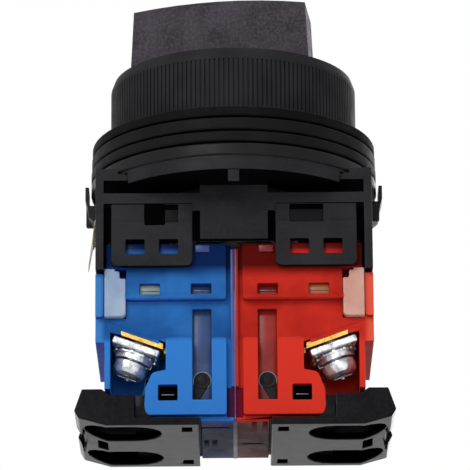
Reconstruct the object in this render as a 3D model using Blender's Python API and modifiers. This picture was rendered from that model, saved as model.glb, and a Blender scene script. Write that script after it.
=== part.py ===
"""Selector switch of the 30 mm industrial class: lever operator, adapter and two contact blocks.

The part stands on the flat undersides of its two terminal covers. +Z runs up the operator's axis and -Y is
the front. The blue contact block is at -X and the red one at +X: the same moulding, turned half round.
"""

import math

import bmesh
import bpy
from mathutils import Matrix, Vector

MM = 0.001

# Clearances
SEAT_GAP = 0.3 * MM
RUN_GAP = 0.3 * MM

# Round segments
BIG_STEPS = 64
SMALL_STEPS = 20
TIP_STEPS = 12
PLUNGER_STEPS = 16
SHAFT_STEPS = 32
CAM_STEPS = 48

# Walls and rooms of a contact block, stacked outwards: u runs from the operator's axis
BLOCK_INNER_U = 0.15 * MM
CAVITY_INNER_WALL = 2.25 * MM
CAVITY_INNER_U = BLOCK_INNER_U + CAVITY_INNER_WALL
CAVITY_W = 7.5 * MM
CAVITY_OUTER_U = CAVITY_INNER_U + CAVITY_W
CAVITY_OUTER_WALL = 1.0 * MM
LOWER_PLATE_U = CAVITY_OUTER_U + CAVITY_OUTER_WALL
TERMINAL_INSET = 4.25 * MM
TERMINAL_U = LOWER_PLATE_U + TERMINAL_INSET
TERMINAL_ROOM = 5.45 * MM
SKIRT_OUTER_U = TERMINAL_U + TERMINAL_ROOM
SKIRT_INSET = 0.1 * MM
ADAPTER_SIDE_WALL = 1.3 * MM
ADAPTER_HALF_X = SKIRT_OUTER_U + SKIRT_INSET + ADAPTER_SIDE_WALL
BLOCK_PROUD = 0.05 * MM
BLOCK_OUTER_U = ADAPTER_HALF_X + BLOCK_PROUD

# The same from front to rear
BLOCK_HALF_Y = 12.0 * MM
BLOCK_PLATE_T = 1.2 * MM
BLOCK_FRONT_Y = BLOCK_HALF_Y + BLOCK_PLATE_T
ADAPTER_WALL = 1.1 * MM
ADAPTER_HALF_Y = BLOCK_FRONT_Y + SEAT_GAP + ADAPTER_WALL

# Flange, panel spacers and gasket, stacked upwards from the flange's underside round the sleeve
SLEEVE_R = 15.0 * MM
FLANGE_Z = 41.4 * MM
FLANGE_LAND = 8.2 * MM
FLANGE_R = SLEEVE_R + FLANGE_LAND
FLANGE_T = 2.05 * MM
DISC_STEP = 0.1 * MM
SPACER_LOWER_R = FLANGE_R
SPACER_LOWER_T = 1.7 * MM
SPACER_UPPER_R = SPACER_LOWER_R - DISC_STEP
SPACER_UPPER_T = 1.98 * MM
GASKET_R = SPACER_UPPER_R - DISC_STEP
GASKET_T = 1.62 * MM
DISC_EDGE = 0.2 * MM
SPACER_LOWER_Z = FLANGE_Z + FLANGE_T + SEAT_GAP
SPACER_UPPER_Z = SPACER_LOWER_Z + SPACER_LOWER_T + SEAT_GAP
GASKET_Z = SPACER_UPPER_Z + SPACER_UPPER_T + SEAT_GAP
PANEL_SEAT_Z = GASKET_Z + GASKET_T

# Ring nut and the sleeve that it runs on
RING_Z = PANEL_SEAT_Z + SEAT_GAP
RING_LAND = 5.0 * MM
RING_R = SLEEVE_R + RING_LAND
RING_WALL = 2.3 * MM
RING_H = 10.75 * MM
RING_THREAD_H = 5.3 * MM
RING_FOOT = 0.4 * MM
RING_CHAMFER = 0.6 * MM
RING_CHAMFER_H = 1.5 * MM
KNURL_COUNT = 84
KNURL_DEPTH = 0.3 * MM
KNURL_START = 0.75 * MM
KNURL_H = 8.0 * MM
SLEEVE_PROUD = 0.45 * MM
SLEEVE_TOP_Z = RING_Z + RING_THREAD_H + SLEEVE_PROUD
SLEEVE_BEARING_H = 8.0 * MM
SLEEVE_WELL_R = 11.0 * MM

# Groove of the gasket, which parts the ring's land from the land that a panel can lie on
GASKET_GROOVE_R = RING_R - DISC_STEP
GASKET_GROOVE_W = 0.6 * MM
GASKET_GROOVE_DEPTH = 0.5 * MM

# Handle
KNOB_GAP = 0.4 * MM
KNOB_R = RING_R - RING_WALL - KNOB_GAP
KNOB_H = 4.0 * MM
KNOB_EDGE = 0.4 * MM
KNOB_Z = SLEEVE_TOP_Z + RUN_GAP
KNOB_TOP_Z = KNOB_Z + KNOB_H
LEVER_LONG = 16.4 * MM
LEVER_SHORT = 13.15 * MM
LEVER_T = 10.0 * MM
LEVER_H = 14.0 * MM
LEVER_DRAFT = math.radians(2.6)
LEVER_CROWN_R = 95.0 * MM
LEVER_EDGE = 0.8 * MM
LEVER_REST_TURN = math.radians(-6.5)
HANDLE_TOP_Z = KNOB_TOP_Z + LEVER_H

# Selector shaft and cam
SHAFT_R = 5.0 * MM
SHAFT_FOOT_R = 6.2 * MM
SHAFT_FOOT_T = 1.1 * MM
DRIVE_SQUARE = 7.0 * MM
DRIVE_H = 7.0 * MM
CAM_R = 10.5 * MM
CAM_T = 2.2 * MM
CAM_HUB_T = 1.2 * MM
CAM_DECK_GAP = 0.3 * MM
PLUNGER_INSET = 1.9 * MM
PLUNGER_U = CAVITY_OUTER_U - PLUNGER_INSET
PLUNGER_TIP_R = 1.2 * MM
PLUNGER_TRAVEL = 2.0 * MM
HANDLE_SWEEP = math.radians(90.0)

# Adapter
ADAPTER_TOP_Z = FLANGE_Z - SEAT_GAP
ADAPTER_TOP_T = 1.15 * MM
SLOT_BAND_H = 2.05 * MM
DECK_T = 1.8 * MM
DECK_TOP_Z = ADAPTER_TOP_Z - ADAPTER_TOP_T - SLOT_BAND_H
DECK_Z = DECK_TOP_Z - DECK_T
POST_H = 0.85 * MM
LIP_R = FLANGE_R - DISC_EDGE
LIP_PROUD = 1.0 * MM
LIP_HALF_X = math.sqrt(LIP_R ** 2 - (ADAPTER_HALF_Y + LIP_PROUD) ** 2)
LIP_T = 2.0 * MM
KEY_TAB_HALF = 0.9 * MM
KEY_TAB_H = 2.0 * MM
KEY_TAB_T = 1.0 * MM
CENTRE_WALL_HALF = 5.4 * MM
CENTRE_WALL_H = 5.95 * MM
EAR_GAP = 1.2 * MM
EAR_INNER_SLOT_TOP = 1.25 * MM
EAR_H = 10.35 * MM
EAR_CORNER_R = 1.0 * MM
EAR_RECESS_H = 2.9 * MM
EAR_RECESS_DEPTH = 0.3 * MM
SIDE_WALL_H = 10.9 * MM
WINDOW_OUTER_U = 14.2 * MM
WINDOW_INNER_U = 8.9 * MM
WINDOW_STEP_U = 10.95 * MM
WINDOW_UPPER_H = 3.0 * MM
WINDOW_OPEN_H = 3.45 * MM
WINDOW_UPPER_DROP = 0.1 * MM
WINDOW_LOWER_H = 2.4 * MM
WINDOW_LOWER_W = 3.0 * MM
WINDOW_LOWER_Z = 27.75 * MM
POCKET_DEPTH = 0.6 * MM

# Lock lever
LOCK_T = 1.4 * MM
LOCK_RING_GAP = 0.5 * MM
LOCK_RING_R = ADAPTER_HALF_Y - ADAPTER_WALL - LOCK_RING_GAP
LOCK_HALF_W = 2.5 * MM
LOCK_EAR_X = ADAPTER_HALF_X + RUN_GAP
LOCK_EAR_REACH = 1.8 * MM
LOCK_TIP_X = LOCK_EAR_X + LOCK_EAR_REACH
LOCK_TAB_T = 0.6 * MM
LOCK_TAB_H = 4.6 * MM
LOCK_EAR_DROP = 1.5 * MM
LOCK_SWEEP = math.radians(14.0)
LOCK_Z = DECK_TOP_Z + SEAT_GAP

# Contact block housing
BLOCK_BOTTOM_Z = 1.5 * MM
BLOCK_FOOT_U = 5.4 * MM
BLOCK_FOOT_H = 0.55 * MM
BLOCK_SHOULDER_Z = DECK_Z - SIDE_WALL_H - SEAT_GAP
BLOCK_TOP_GAP = 0.35 * MM
BLOCK_TOP_Z = DECK_Z - CENTRE_WALL_H - BLOCK_TOP_GAP
BLOCK_CHAMFER = 0.5 * MM
BLOCK_SKIRT_Z = 13.9 * MM
SKIRT_WALL = 0.9 * MM
SKIRT_BOTTOM_Z = 6.3 * MM
UPPER_PLATE_Z = 20.6 * MM
PLATE_INNER_U = 1.3 * MM
LOWER_PLATE_TOP_Z = 14.4 * MM
NOSE_INSET = 0.85 * MM
LOWER_PLATE_NOSE_U = TERMINAL_U - NOSE_INSET
LOWER_PLATE_BOTTOM_Z = 1.75 * MM
CHEEK_TOP_Z = 9.1 * MM
CHEEK_STEP_Z = 8.7 * MM
CHEEK_STEP_U = LOWER_PLATE_NOSE_U - 1.3 * MM
CHEEK_HEEL_Z = 6.1 * MM
CHEEK_HEEL_DRAW = 0.15 * MM
CHEEK_WALL = 0.1 * MM
NOSE_CORNER_U = 0.45 * MM
NOSE_CORNER_Z = 2.9 * MM
CAVITY_END_WALL = 0.8 * MM
CAVITY_HALF_Y = BLOCK_HALF_Y - CAVITY_END_WALL
CAVITY_BOTTOM_Z = 1.9 * MM
CAVITY_TOP_WALL = 1.8 * MM
SIGHT_INSET = 1.25 * MM
SIGHT_U = CAVITY_INNER_U + SIGHT_INSET
SIGHT_W = 3.05 * MM
SIGHT_Z = 4.2 * MM
SIGHT_H = 15.1 * MM
TEST_SLOT_Z = 21.5 * MM
TEST_SLOT_H = 1.7 * MM
TEST_SLOT_W = 3.25 * MM
TEST_SLOT_OUTER_U = 11.8 * MM
TEST_SLOT_DEPTH = 2.5 * MM
CATCH_U = 9.05 * MM
CATCH_W = 3.05 * MM
CATCH_Z = 4.1 * MM
CATCH_H = 2.55 * MM
CATCH_DEPTH = 1.7 * MM

# Latch clip
CLIP_W = 2.95 * MM
CLIP_INSET = 0.2 * MM
CLIP_U = SKIRT_OUTER_U - CLIP_INSET - CLIP_W
CLIP_OVERLAP = 0.15 * MM
UPPER_PLATE_U = CLIP_U + CLIP_OVERLAP
CLIP_Z = 18.1 * MM
CLIP_H = 7.4 * MM
CLIP_T = 2.9 * MM
CLIP_STEP_U = 0.85 * MM
CLIP_STEP_H = 1.5 * MM

# Terminal, on an axis tilted down and outwards
TERMINAL_TILT = math.radians(20.0)
TERMINAL_Z = 14.6 * MM
TERMINAL_SET = 3.8 * MM
TERMINAL_Y = BLOCK_HALF_Y - TERMINAL_SET
STRIP_T = 1.0 * MM
STRIP_W = 7.6 * MM
STRIP_OUTER = 3.0 * MM
STRIP_BEND_GAP = 0.4 * MM
STRIP_BEND_U = LOWER_PLATE_U + STRIP_BEND_GAP
STRIP_INSET = 2.6 * MM
STRIP_INNER_U = CAVITY_INNER_U + STRIP_INSET
STRIP_INNER_W = 5.0 * MM
CONTACT_TIP_R = 1.1 * MM
CONTACT_TIP_T = 0.25 * MM
SCREW_SHANK_R = 1.75 * MM
SCREW_HOLE_R = SCREW_SHANK_R + RUN_GAP
SCREW_HEAD_R = 2.75 * MM
SCREW_HEAD_T = 2.3 * MM
SCREW_CROWN = ((0.6, 0.0), (0.88, 0.18), (1.0, 0.48))
SCREW_POINT = 0.5 * MM
SCREW_LENGTH = 6.4 * MM
CROSS_L = 3.2 * MM
CROSS_W = 0.6 * MM
CROSS_DEPTH = 1.1 * MM
SQUARE_WASHER_W = 7.8 * MM
MID_WALL_CLEARANCE = 1.8 * MM
MID_WALL_HALF = TERMINAL_Y - SQUARE_WASHER_W / 2 - MID_WALL_CLEARANCE
SQUARE_WASHER_T = 1.2 * MM
SPRING_WASHER_R = 3.1 * MM
SPRING_WASHER_T = 1.0 * MM
SPRING_WASHER_SPLIT = 0.5 * MM

# Plunger, contact carrier, bridge and return spring
PLUNGER_TIP_EDGE = 0.48 * MM
PLUNGER_STEM_R = 2.2 * MM
PLUNGER_TIP_H = 2.1 * MM
PLUNGER_FOOT_H = 1.5 * MM
PLUNGER_COLLAR_R = 3.0 * MM
PLUNGER_COLLAR_T = 1.5 * MM
CARRIER_INSET = 1.2 * MM
CARRIER_OUTER_GAP = 0.7 * MM
CARRIER_U = CAVITY_INNER_U + CARRIER_INSET
CARRIER_W = CAVITY_W - CARRIER_INSET - CARRIER_OUTER_GAP
CARRIER_END_GAP = 0.4 * MM
CARRIER_HALF_Y = TERMINAL_Y - STRIP_W / 2 - CARRIER_END_GAP
CARRIER_Z = 8.4 * MM
CARRIER_H = 10.6 * MM
POINTER_U = SIGHT_U + SIGHT_W / 2
POINTER_Z = 7.9 * MM
POINTER_R = 1.3 * MM
POINTER_T = 0.8 * MM
POINTER_TAIL_Z = 4.2 * MM
POINTER_TAIL_W = 0.52 * MM
POINTER_ARM_HALF = 0.9 * MM
BRIDGE_W = 3.0 * MM
BRIDGE_T = 0.8 * MM
BRIDGE_REACH = 1.1 * MM
BRIDGE_HALF_Y = TERMINAL_Y + BRIDGE_REACH
SPRING_R = 1.9 * MM
SPRING_WIRE_R = 0.3 * MM
SPRING_TURNS = 4.5
SPRING_POINTS_PER_TURN = 12

# Terminal cover
COVER_INNER_U = 5.7 * MM
COVER_PROUD = 0.5 * MM
COVER_HALF_Y = BLOCK_FRONT_Y + COVER_PROUD
COVER_T = 1.2 * MM
COVER_FOOT_DRAW = 0.24 * MM
COVER_HEEL_DRAW = 0.48 * MM
COVER_WALL_RISE = 0.36 * MM
COVER_HEEL_Z = 1.2 * MM
COVER_REACH = 3.25 * MM
COVER_OUTER_U = BLOCK_OUTER_U + COVER_REACH
COVER_HEEL_CORNER = 0.7 * MM
COVER_HEEL_U = COVER_OUTER_U - COVER_HEEL_CORNER
COVER_SLOPE_W = 4.3 * MM
COVER_FLAT_U = COVER_HEEL_U - COVER_SLOPE_W
COVER_OUTER_Z = 2.4 * MM
COVER_LEAN = 1.2 * MM
COVER_TOP_U = COVER_OUTER_U - COVER_LEAN
COVER_TOP_Z = 5.9 * MM
COVER_FLAP_U = 15.8 * MM
COVER_FLAP_Z = 5.0 * MM
COVER_FLAP_STEP_U = 19.75 * MM
COVER_FLAP_RISE = 1.25 * MM
COVER_SLOT_U = 11.6 * MM
COVER_SLOT_L = 12.3 * MM
COVER_SLOT_Y = 3.5 * MM
COVER_SLOT_EDGE = 0.3 * MM
COVER_SLOT_W = COVER_HALF_Y - COVER_T - COVER_SLOT_EDGE - COVER_SLOT_Y
COVER_HOLE_W = 1.6 * MM
COVER_HOLE_HALF_Y = 2.4 * MM
COVER_HOOK_HALF_Y = 3.2 * MM
COVER_HOOK_DEPTH = 1.2 * MM
COVER_HOOK_RISE = 0.8 * MM
COVER_KEY_U = 6.8 * MM
COVER_KEY_W = 1.6 * MM
COVER_KEY_SET = 4.5 * MM
COVER_KEY_Y = COVER_HALF_Y - COVER_KEY_SET
COVER_KEY_L = 2.6 * MM

# Side label
LABEL_T = 0.3 * MM
LABEL_HALF_Y = 8.0 * MM
LABEL_TOP_DROP = 0.1 * MM
LABEL_H = 6.8 * MM
LABEL_LIFT = 1.3 * MM
LABEL_POINTS = 7


class Finish:
    """Colour, roughness and metallic value of a material."""

    def __init__(self, name, colour, roughness, metallic=0.0):
        self.name = name
        self.colour = colour
        self.roughness = roughness
        self.metallic = metallic

    def material(self):
        """Returns the Principled material, made once and shared."""
        found = bpy.data.materials.get(self.name)
        if found:
            return found
        made = bpy.data.materials.new(self.name)
        made.use_nodes = True
        shader = made.node_tree.nodes["Principled BSDF"]
        shader.inputs["Base Color"].default_value = (*self.colour, 1.0)
        shader.inputs["Roughness"].default_value = self.roughness
        shader.inputs["Metallic"].default_value = self.metallic
        made.diffuse_color = (*self.colour, 1.0)
        return made


BLACK_GLOSSY = Finish("black_glossy_plastic", (0.018, 0.018, 0.02), 0.25)
BLACK_SATIN = Finish("black_satin_plastic", (0.03, 0.03, 0.033), 0.45)
HANDLE_GREY = Finish("handle_plastic", (0.045, 0.04, 0.046), 0.5)
RUBBER = Finish("black_rubber", (0.025, 0.025, 0.025), 0.8)
BLUE = Finish("blue_translucent_plastic", (0.02, 0.16, 0.6), 0.3)
RED = Finish("red_translucent_plastic", (0.65, 0.04, 0.025), 0.3)
MILKY = Finish("milky_plastic", (0.72, 0.74, 0.78), 0.4)
WHITE = Finish("white_plastic", (0.75, 0.74, 0.7), 0.4)
ZINC = Finish("zinc_plated_steel", (0.7, 0.7, 0.72), 0.3, 1.0)
BRASS = Finish("brass", (0.78, 0.5, 0.18), 0.3, 1.0)
SILVER = Finish("silver_contact", (0.8, 0.8, 0.78), 0.25, 1.0)
PAPER = Finish("label_paper", (0.46, 0.44, 0.36), 0.8)


# Scene and mesh helpers

def clear_scene():
    """Removes every object of the scene."""
    for existing in list(bpy.data.objects):
        bpy.data.objects.remove(existing, do_unlink=True)


def new_collection(name, hidden=False):
    """Returns a new collection in the scene."""
    made = bpy.data.collections.new(name)
    made.hide_render = hidden
    bpy.context.scene.collection.children.link(made)
    return made


def flush(mesh):
    """Rounds corners to a ten-thousandth of a millimetre, so that faces meant to be flush are."""
    for vert in mesh.vertices:
        vert.co = [round(value, 7) for value in vert.co]


def mesh_object(name, mesh):
    """Links a mesh as an object and returns it."""
    made = bpy.data.objects.new(name, mesh)
    PARTS.objects.link(made)
    return made


def object_from_bmesh(name, bm):
    """Writes a bmesh to a new object with its faces pointing out."""
    bmesh.ops.recalc_face_normals(bm, faces=bm.faces)
    mesh = bpy.data.meshes.new(name)
    bm.to_mesh(mesh)
    bm.free()
    flush(mesh)
    return mesh_object(name, mesh)


def box(name, low, high):
    """Returns a box between two corners."""
    size = Vector(high) - Vector(low)
    middle = (Vector(high) + Vector(low)) / 2
    bm = bmesh.new()
    bmesh.ops.create_cube(bm, size=1.0, matrix=Matrix.Translation(middle) @ Matrix.Diagonal((*size, 1.0)))
    return object_from_bmesh(name, bm)


def cylinder(name, radius, low, high, centre=(0.0, 0.0), steps=SMALL_STEPS, frame=None):
    """Returns a cylinder along Z between two levels, placed by a frame if one is given."""
    bm = bmesh.new()
    middle = Matrix.Translation((centre[0], centre[1], (low + high) / 2))
    bmesh.ops.create_cone(bm, cap_ends=True, segments=steps, radius1=radius, radius2=radius,
                          depth=high - low, matrix=(frame or Matrix()) @ middle)
    return object_from_bmesh(name, bm)


def turned(name, profile, steps=BIG_STEPS, closed=False, frame=None):
    """Turns a profile of (radius, level) about Z: top to bottom down its outer side."""
    mesh = bpy.data.meshes.new(name)
    count = len(profile)
    edges = [(i, i + 1) for i in range(count - 1)]
    if closed:
        edges.append((count - 1, 0))
    mesh.from_pydata([(r, 0.0, z) for r, z in profile], edges, [])
    made = mesh_object(name, mesh)
    spin = made.modifiers.new("turn", "SCREW")
    spin.angle = 2 * math.pi
    spin.steps = steps
    spin.render_steps = steps
    spin.use_merge_vertices = True
    spin.merge_threshold = 0.01 * MM
    spin.use_smooth_shade = True
    settle(made)
    if frame:
        made.data.transform(frame)
    return made


def outline_solid(name, outline, half_thickness, frame):
    """Returns the solid of a flat outline, thickened both ways and placed by a frame."""
    curve = bpy.data.curves.new(name + "_outline", "CURVE")
    curve.dimensions = "2D"
    curve.fill_mode = "BOTH"
    curve.extrude = half_thickness
    spline = curve.splines.new("POLY")
    spline.points.add(len(outline) - 1)
    spline.use_cyclic_u = True
    for point, (x, y) in zip(spline.points, outline):
        point.co = (x, y, 0.0, 1.0)
    guide = bpy.data.objects.new(name + "_outline", curve)
    PARTS.objects.link(guide)
    guide.matrix_world = frame
    return curve_to_mesh(guide, name)


def curve_to_mesh(guide, name):
    """Replaces a curve object with a welded mesh object at the same place."""
    graph = bpy.context.evaluated_depsgraph_get()
    mesh = bpy.data.meshes.new_from_object(guide.evaluated_get(graph))
    bm = bmesh.new()
    bm.from_mesh(mesh)
    bmesh.ops.remove_doubles(bm, verts=bm.verts, dist=0.001 * MM)
    bmesh.ops.recalc_face_normals(bm, faces=bm.faces)
    bm.to_mesh(mesh)
    bm.free()
    mesh.transform(guide.matrix_world)
    flush(mesh)
    bpy.data.objects.remove(guide, do_unlink=True)
    return mesh_object(name, mesh)


def side_slab(name, outline, low_y, high_y):
    """Returns an outline of (x, z) points, thickened from one y to another."""
    frame = Matrix.Translation((0.0, (low_y + high_y) / 2, 0.0)) @ Matrix.Rotation(math.pi / 2, 4, "X")
    return outline_solid(name, outline, (high_y - low_y) / 2, frame)


def plan_slab(name, outline, low_z, high_z):
    """Returns an outline of (x, y) points, thickened from one level to another."""
    frame = Matrix.Translation((0.0, 0.0, (low_z + high_z) / 2))
    return outline_solid(name, outline, (high_z - low_z) / 2, frame)


def boolean(target, tool, operation):
    """Adds an exact Boolean and puts its tool among the cutters."""
    PARTS.objects.unlink(tool)
    CUTTERS.objects.link(tool)
    tool.hide_render = True
    tool.display_type = "WIRE"
    modifier = target.modifiers.new(operation.lower(), "BOOLEAN")
    modifier.operation = operation
    modifier.solver = "EXACT"
    modifier.object = tool


def cut(target, *tools):
    """Takes each tool out of the target."""
    for tool in tools:
        boolean(target, tool, "DIFFERENCE")


def join(target, *tools):
    """Adds each tool to the target."""
    for tool in tools:
        boolean(target, tool, "UNION")


def bevel(target, width, segments=2, angle=math.radians(40)):
    """Rounds the target's sharp edges."""
    modifier = target.modifiers.new("edges", "BEVEL")
    modifier.width = width
    modifier.segments = segments
    modifier.limit_method = "ANGLE"
    modifier.angle_limit = angle


def settle(target):
    """Makes the target's modifiers part of its mesh and clears the cutters that they used."""
    graph = bpy.context.evaluated_depsgraph_get()
    mesh = bpy.data.meshes.new_from_object(target.evaluated_get(graph))
    used = [modifier.object for modifier in target.modifiers if modifier.type == "BOOLEAN"]
    target.modifiers.clear()
    target.data = mesh
    for tool in used:
        bpy.data.objects.remove(tool, do_unlink=True)


def finish(target, finish_kind, smooth_angle=math.radians(35)):
    """Settles the target, shades it smooth between sharp edges and gives it its material."""
    settle(target)
    mesh = target.data
    mesh.shade_smooth()
    mesh.set_sharp_from_angle(angle=smooth_angle)
    mesh.materials.clear()
    mesh.materials.append(finish_kind.material())
    return target


def arc(centre, radius, start, end, count):
    """Returns points along an arc, its angles in radians."""
    steps = [start + (end - start) * i / (count - 1) for i in range(count)]
    return [(centre[0] + radius * math.cos(a), centre[1] + radius * math.sin(a)) for a in steps]


def both_fronts(name, low, high):
    """Returns two boxes, mirrored across the plane y = 0; low and high hold the positive one."""
    mirrored_low = (low[0], -high[1], low[2])
    mirrored_high = (high[0], -low[1], high[2])
    return box(name + "_rear", low, high), box(name + "_front", mirrored_low, mirrored_high)


def axis_empty(name, place):
    """Returns an empty on a joint's axis."""
    made = bpy.data.objects.new(name, None)
    made.location = place
    PARTS.objects.link(made)
    return made


def carry(parent, *children):
    """Parents pieces to an unturned empty, where they already stand."""
    for child in children:
        child.parent = parent
        child.matrix_parent_inverse = Matrix.Translation(parent.location).inverted()


clear_scene()
PARTS = new_collection("selector_switch")
CUTTERS = new_collection("cutters", hidden=True)


# Operator

def disc(name, radius, low, thickness, finish_kind, groove=()):
    """Returns one flat disc of the stack, bored for the sleeve; groove is a profile cut into its top."""
    top = low + thickness
    bore = SLEEVE_R + SEAT_GAP
    profile = [(bore, top)] + list(groove)
    profile += [(radius - DISC_EDGE, top), (radius, top - DISC_EDGE),
                (radius, low + DISC_EDGE), (radius - DISC_EDGE, low), (bore, low)]
    return finish(turned(name, profile, closed=True), finish_kind)


def gasket_groove():
    """Returns the profile of the groove round the ring's foot."""
    outer = GASKET_GROOVE_R + GASKET_GROOVE_W
    floor = PANEL_SEAT_Z - GASKET_GROOVE_DEPTH
    return [(GASKET_GROOVE_R, PANEL_SEAT_Z), (GASKET_GROOVE_R, floor), (outer, floor), (outer, PANEL_SEAT_Z)]


def build_operator_body():
    """The flange and its threaded sleeve: a bearing bore above, a well for the shaft's detent below."""
    flange_top = FLANGE_Z + FLANGE_T
    bearing_z = SLEEVE_TOP_Z - SLEEVE_BEARING_H
    bore = SHAFT_R + RUN_GAP
    edge_r = SLEEVE_R - DISC_EDGE
    profile = [(bore, SLEEVE_TOP_Z), (edge_r, SLEEVE_TOP_Z), (SLEEVE_R, SLEEVE_TOP_Z - DISC_EDGE),
               (SLEEVE_R, flange_top), (FLANGE_R - DISC_EDGE, flange_top), (FLANGE_R, flange_top - DISC_EDGE),
               (FLANGE_R, FLANGE_Z + DISC_EDGE), (FLANGE_R - DISC_EDGE, FLANGE_Z), (bore, FLANGE_Z),
               (bore, flange_top), (SLEEVE_WELL_R, flange_top), (SLEEVE_WELL_R, bearing_z), (bore, bearing_z)]
    return finish(turned("operator_body", profile, closed=True), BLACK_SATIN)


def build_ring():
    """The knurled ring nut: threaded below, open above for the handle's disc."""
    top = RING_Z + RING_H
    thread_top = RING_Z + RING_THREAD_H
    thread_r = SLEEVE_R + RUN_GAP
    opening_r = RING_R - RING_WALL
    profile = [(opening_r, top), (RING_R - RING_CHAMFER, top), (RING_R, top - RING_CHAMFER_H),
               (RING_R, RING_Z + RING_FOOT), (RING_R - RING_FOOT, RING_Z), (thread_r, RING_Z),
               (thread_r, thread_top), (opening_r, thread_top)]
    ring = turned("bezel_ring", profile, steps=KNURL_COUNT, closed=True)
    grooves = bmesh.new()
    low = RING_Z + KNURL_START
    for i in range(KNURL_COUNT):
        turn = Matrix.Rotation(2 * math.pi * i / KNURL_COUNT, 4, "Z")
        place = Matrix.Translation((RING_R, 0.0, low + KNURL_H / 2)) @ Matrix.Rotation(math.pi / 4, 4, "Z")
        size = Matrix.Diagonal((KNURL_DEPTH * math.sqrt(2), KNURL_DEPTH * math.sqrt(2), KNURL_H, 1.0))
        bmesh.ops.create_cube(grooves, size=1.0, matrix=turn @ place @ size)
    cut(ring, object_from_bmesh("knurl", grooves))
    return finish(ring, BLACK_GLOSSY, math.radians(25))


def lever_outline():
    """Returns the lever's side view, its ends drawn in and its top crowned."""
    foot = KNOB_TOP_Z - KNOB_H / 2
    draw = math.tan(LEVER_DRAFT) * LEVER_H
    ends = (-LEVER_LONG + draw, LEVER_SHORT - draw)
    apex = HANDLE_TOP_Z
    centre = (0.0, apex - LEVER_CROWN_R)
    angles = [math.acos(x / LEVER_CROWN_R) for x in ends]
    crown = arc(centre, LEVER_CROWN_R, angles[1], angles[0], 9)
    slope = math.tan(LEVER_DRAFT) * (KNOB_TOP_Z - foot)
    return [(-LEVER_LONG - slope, foot), (LEVER_SHORT + slope, foot)] + crown


def build_handle(axis):
    """The lever on its round disc, with the square socket that takes the shaft."""
    profile = [(0.0, KNOB_TOP_Z), (KNOB_R - KNOB_EDGE, KNOB_TOP_Z), (KNOB_R, KNOB_TOP_Z - KNOB_EDGE),
               (KNOB_R, KNOB_Z), (0.0, KNOB_Z)]
    handle = turned("handle", profile)
    lever = side_slab("lever", lever_outline(), -LEVER_T / 2, LEVER_T / 2)
    bevel(lever, LEVER_EDGE, 3)
    settle(lever)
    trim = cylinder("lever_trim", KNOB_R - KNOB_EDGE, KNOB_Z, HANDLE_TOP_Z + KNOB_H, steps=BIG_STEPS)
    boolean(lever, trim, "INTERSECT")
    settle(lever)
    join(handle, lever)
    half = DRIVE_SQUARE / 2 + SEAT_GAP
    socket_top = KNOB_Z + DRIVE_H + SEAT_GAP
    cut(handle, box("socket", (-half, -half, KNOB_Z - MM), (half, half, socket_top)))
    finish(handle, HANDLE_GREY)
    handle.data.transform(Matrix.Rotation(LEVER_REST_TURN, 4, "Z"))
    carry(axis, handle)


def cam_depth(angle):
    """Returns how far the cam's underside reaches below its flat at an angle about the axis."""
    tip_angle = math.asin(PLUNGER_TIP_R / PLUNGER_U)
    from_lobe = abs((angle % math.pi) - math.pi / 2)
    return max(0.0, PLUNGER_TRAVEL * (1.0 - (tip_angle + from_lobe) / HANDLE_SWEEP))


def build_cam(axis):
    """The cam: two helical lobes, a quarter turn from the plungers while the handle rests."""
    top = DECK_Z - CAM_DECK_GAP
    low = top - CAM_T
    bore = SHAFT_R + SEAT_GAP
    track_r = SHAFT_FOOT_R + RUN_GAP
    profile = [(bore, top), (CAM_R, top), (CAM_R, low), (track_r, low), (track_r, top - CAM_HUB_T),
               (bore, top - CAM_HUB_T)]
    cam = turned("selector_cam", profile, steps=CAM_STEPS, closed=True)
    bm = bmesh.new()
    bm.from_mesh(cam.data)
    bmesh.ops.triangulate(bm, faces=bm.faces)
    for vert in bm.verts:
        if vert.co.z < low + RUN_GAP:
            vert.co.z -= cam_depth(math.atan2(vert.co.y, vert.co.x))
    bm.to_mesh(cam.data)
    bm.free()
    carry(axis, finish(cam, WHITE))


def build_shaft(axis):
    """The shaft: a square drive in the handle, a round journal and a foot under the cam's hub."""
    foot_top = DECK_Z - CAM_DECK_GAP - CAM_HUB_T - SEAT_GAP
    foot = foot_top - SHAFT_FOOT_T
    square_z = KNOB_Z - MM
    profile = [(0.0, square_z), (SHAFT_R, square_z), (SHAFT_R, foot_top), (SHAFT_FOOT_R, foot_top),
               (SHAFT_FOOT_R, foot), (0.0, foot)]
    shaft = turned("selector_shaft", profile, steps=SHAFT_STEPS)
    half = DRIVE_SQUARE / 2
    join(shaft, box("square", (-half, -half, square_z - MM), (half, half, KNOB_Z + DRIVE_H)))
    finish(shaft, ZINC)
    shaft.data.transform(Matrix.Rotation(LEVER_REST_TURN, 4, "Z"))
    carry(axis, shaft)


def build_operator():
    """Builds everything above the adapter."""
    axis = axis_empty("handle_axis", (0.0, 0.0, PANEL_SEAT_Z))
    build_handle(axis)
    build_shaft(axis)
    build_cam(axis)
    build_ring()
    build_operator_body()
    disc("panel_gasket", GASKET_R, GASKET_Z, GASKET_T, RUBBER, gasket_groove())
    disc("spacer_upper", SPACER_UPPER_R, SPACER_UPPER_Z, SPACER_UPPER_T, BLACK_SATIN)
    disc("spacer_lower", SPACER_LOWER_R, SPACER_LOWER_Z, SPACER_LOWER_T, BLACK_SATIN)


# Adapter

def mirrored(half_outline):
    """Returns a whole outline from its half at positive x, listed from the middle outwards and back."""
    return half_outline + [(-x, y) for x, y in reversed(half_outline)]


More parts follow.
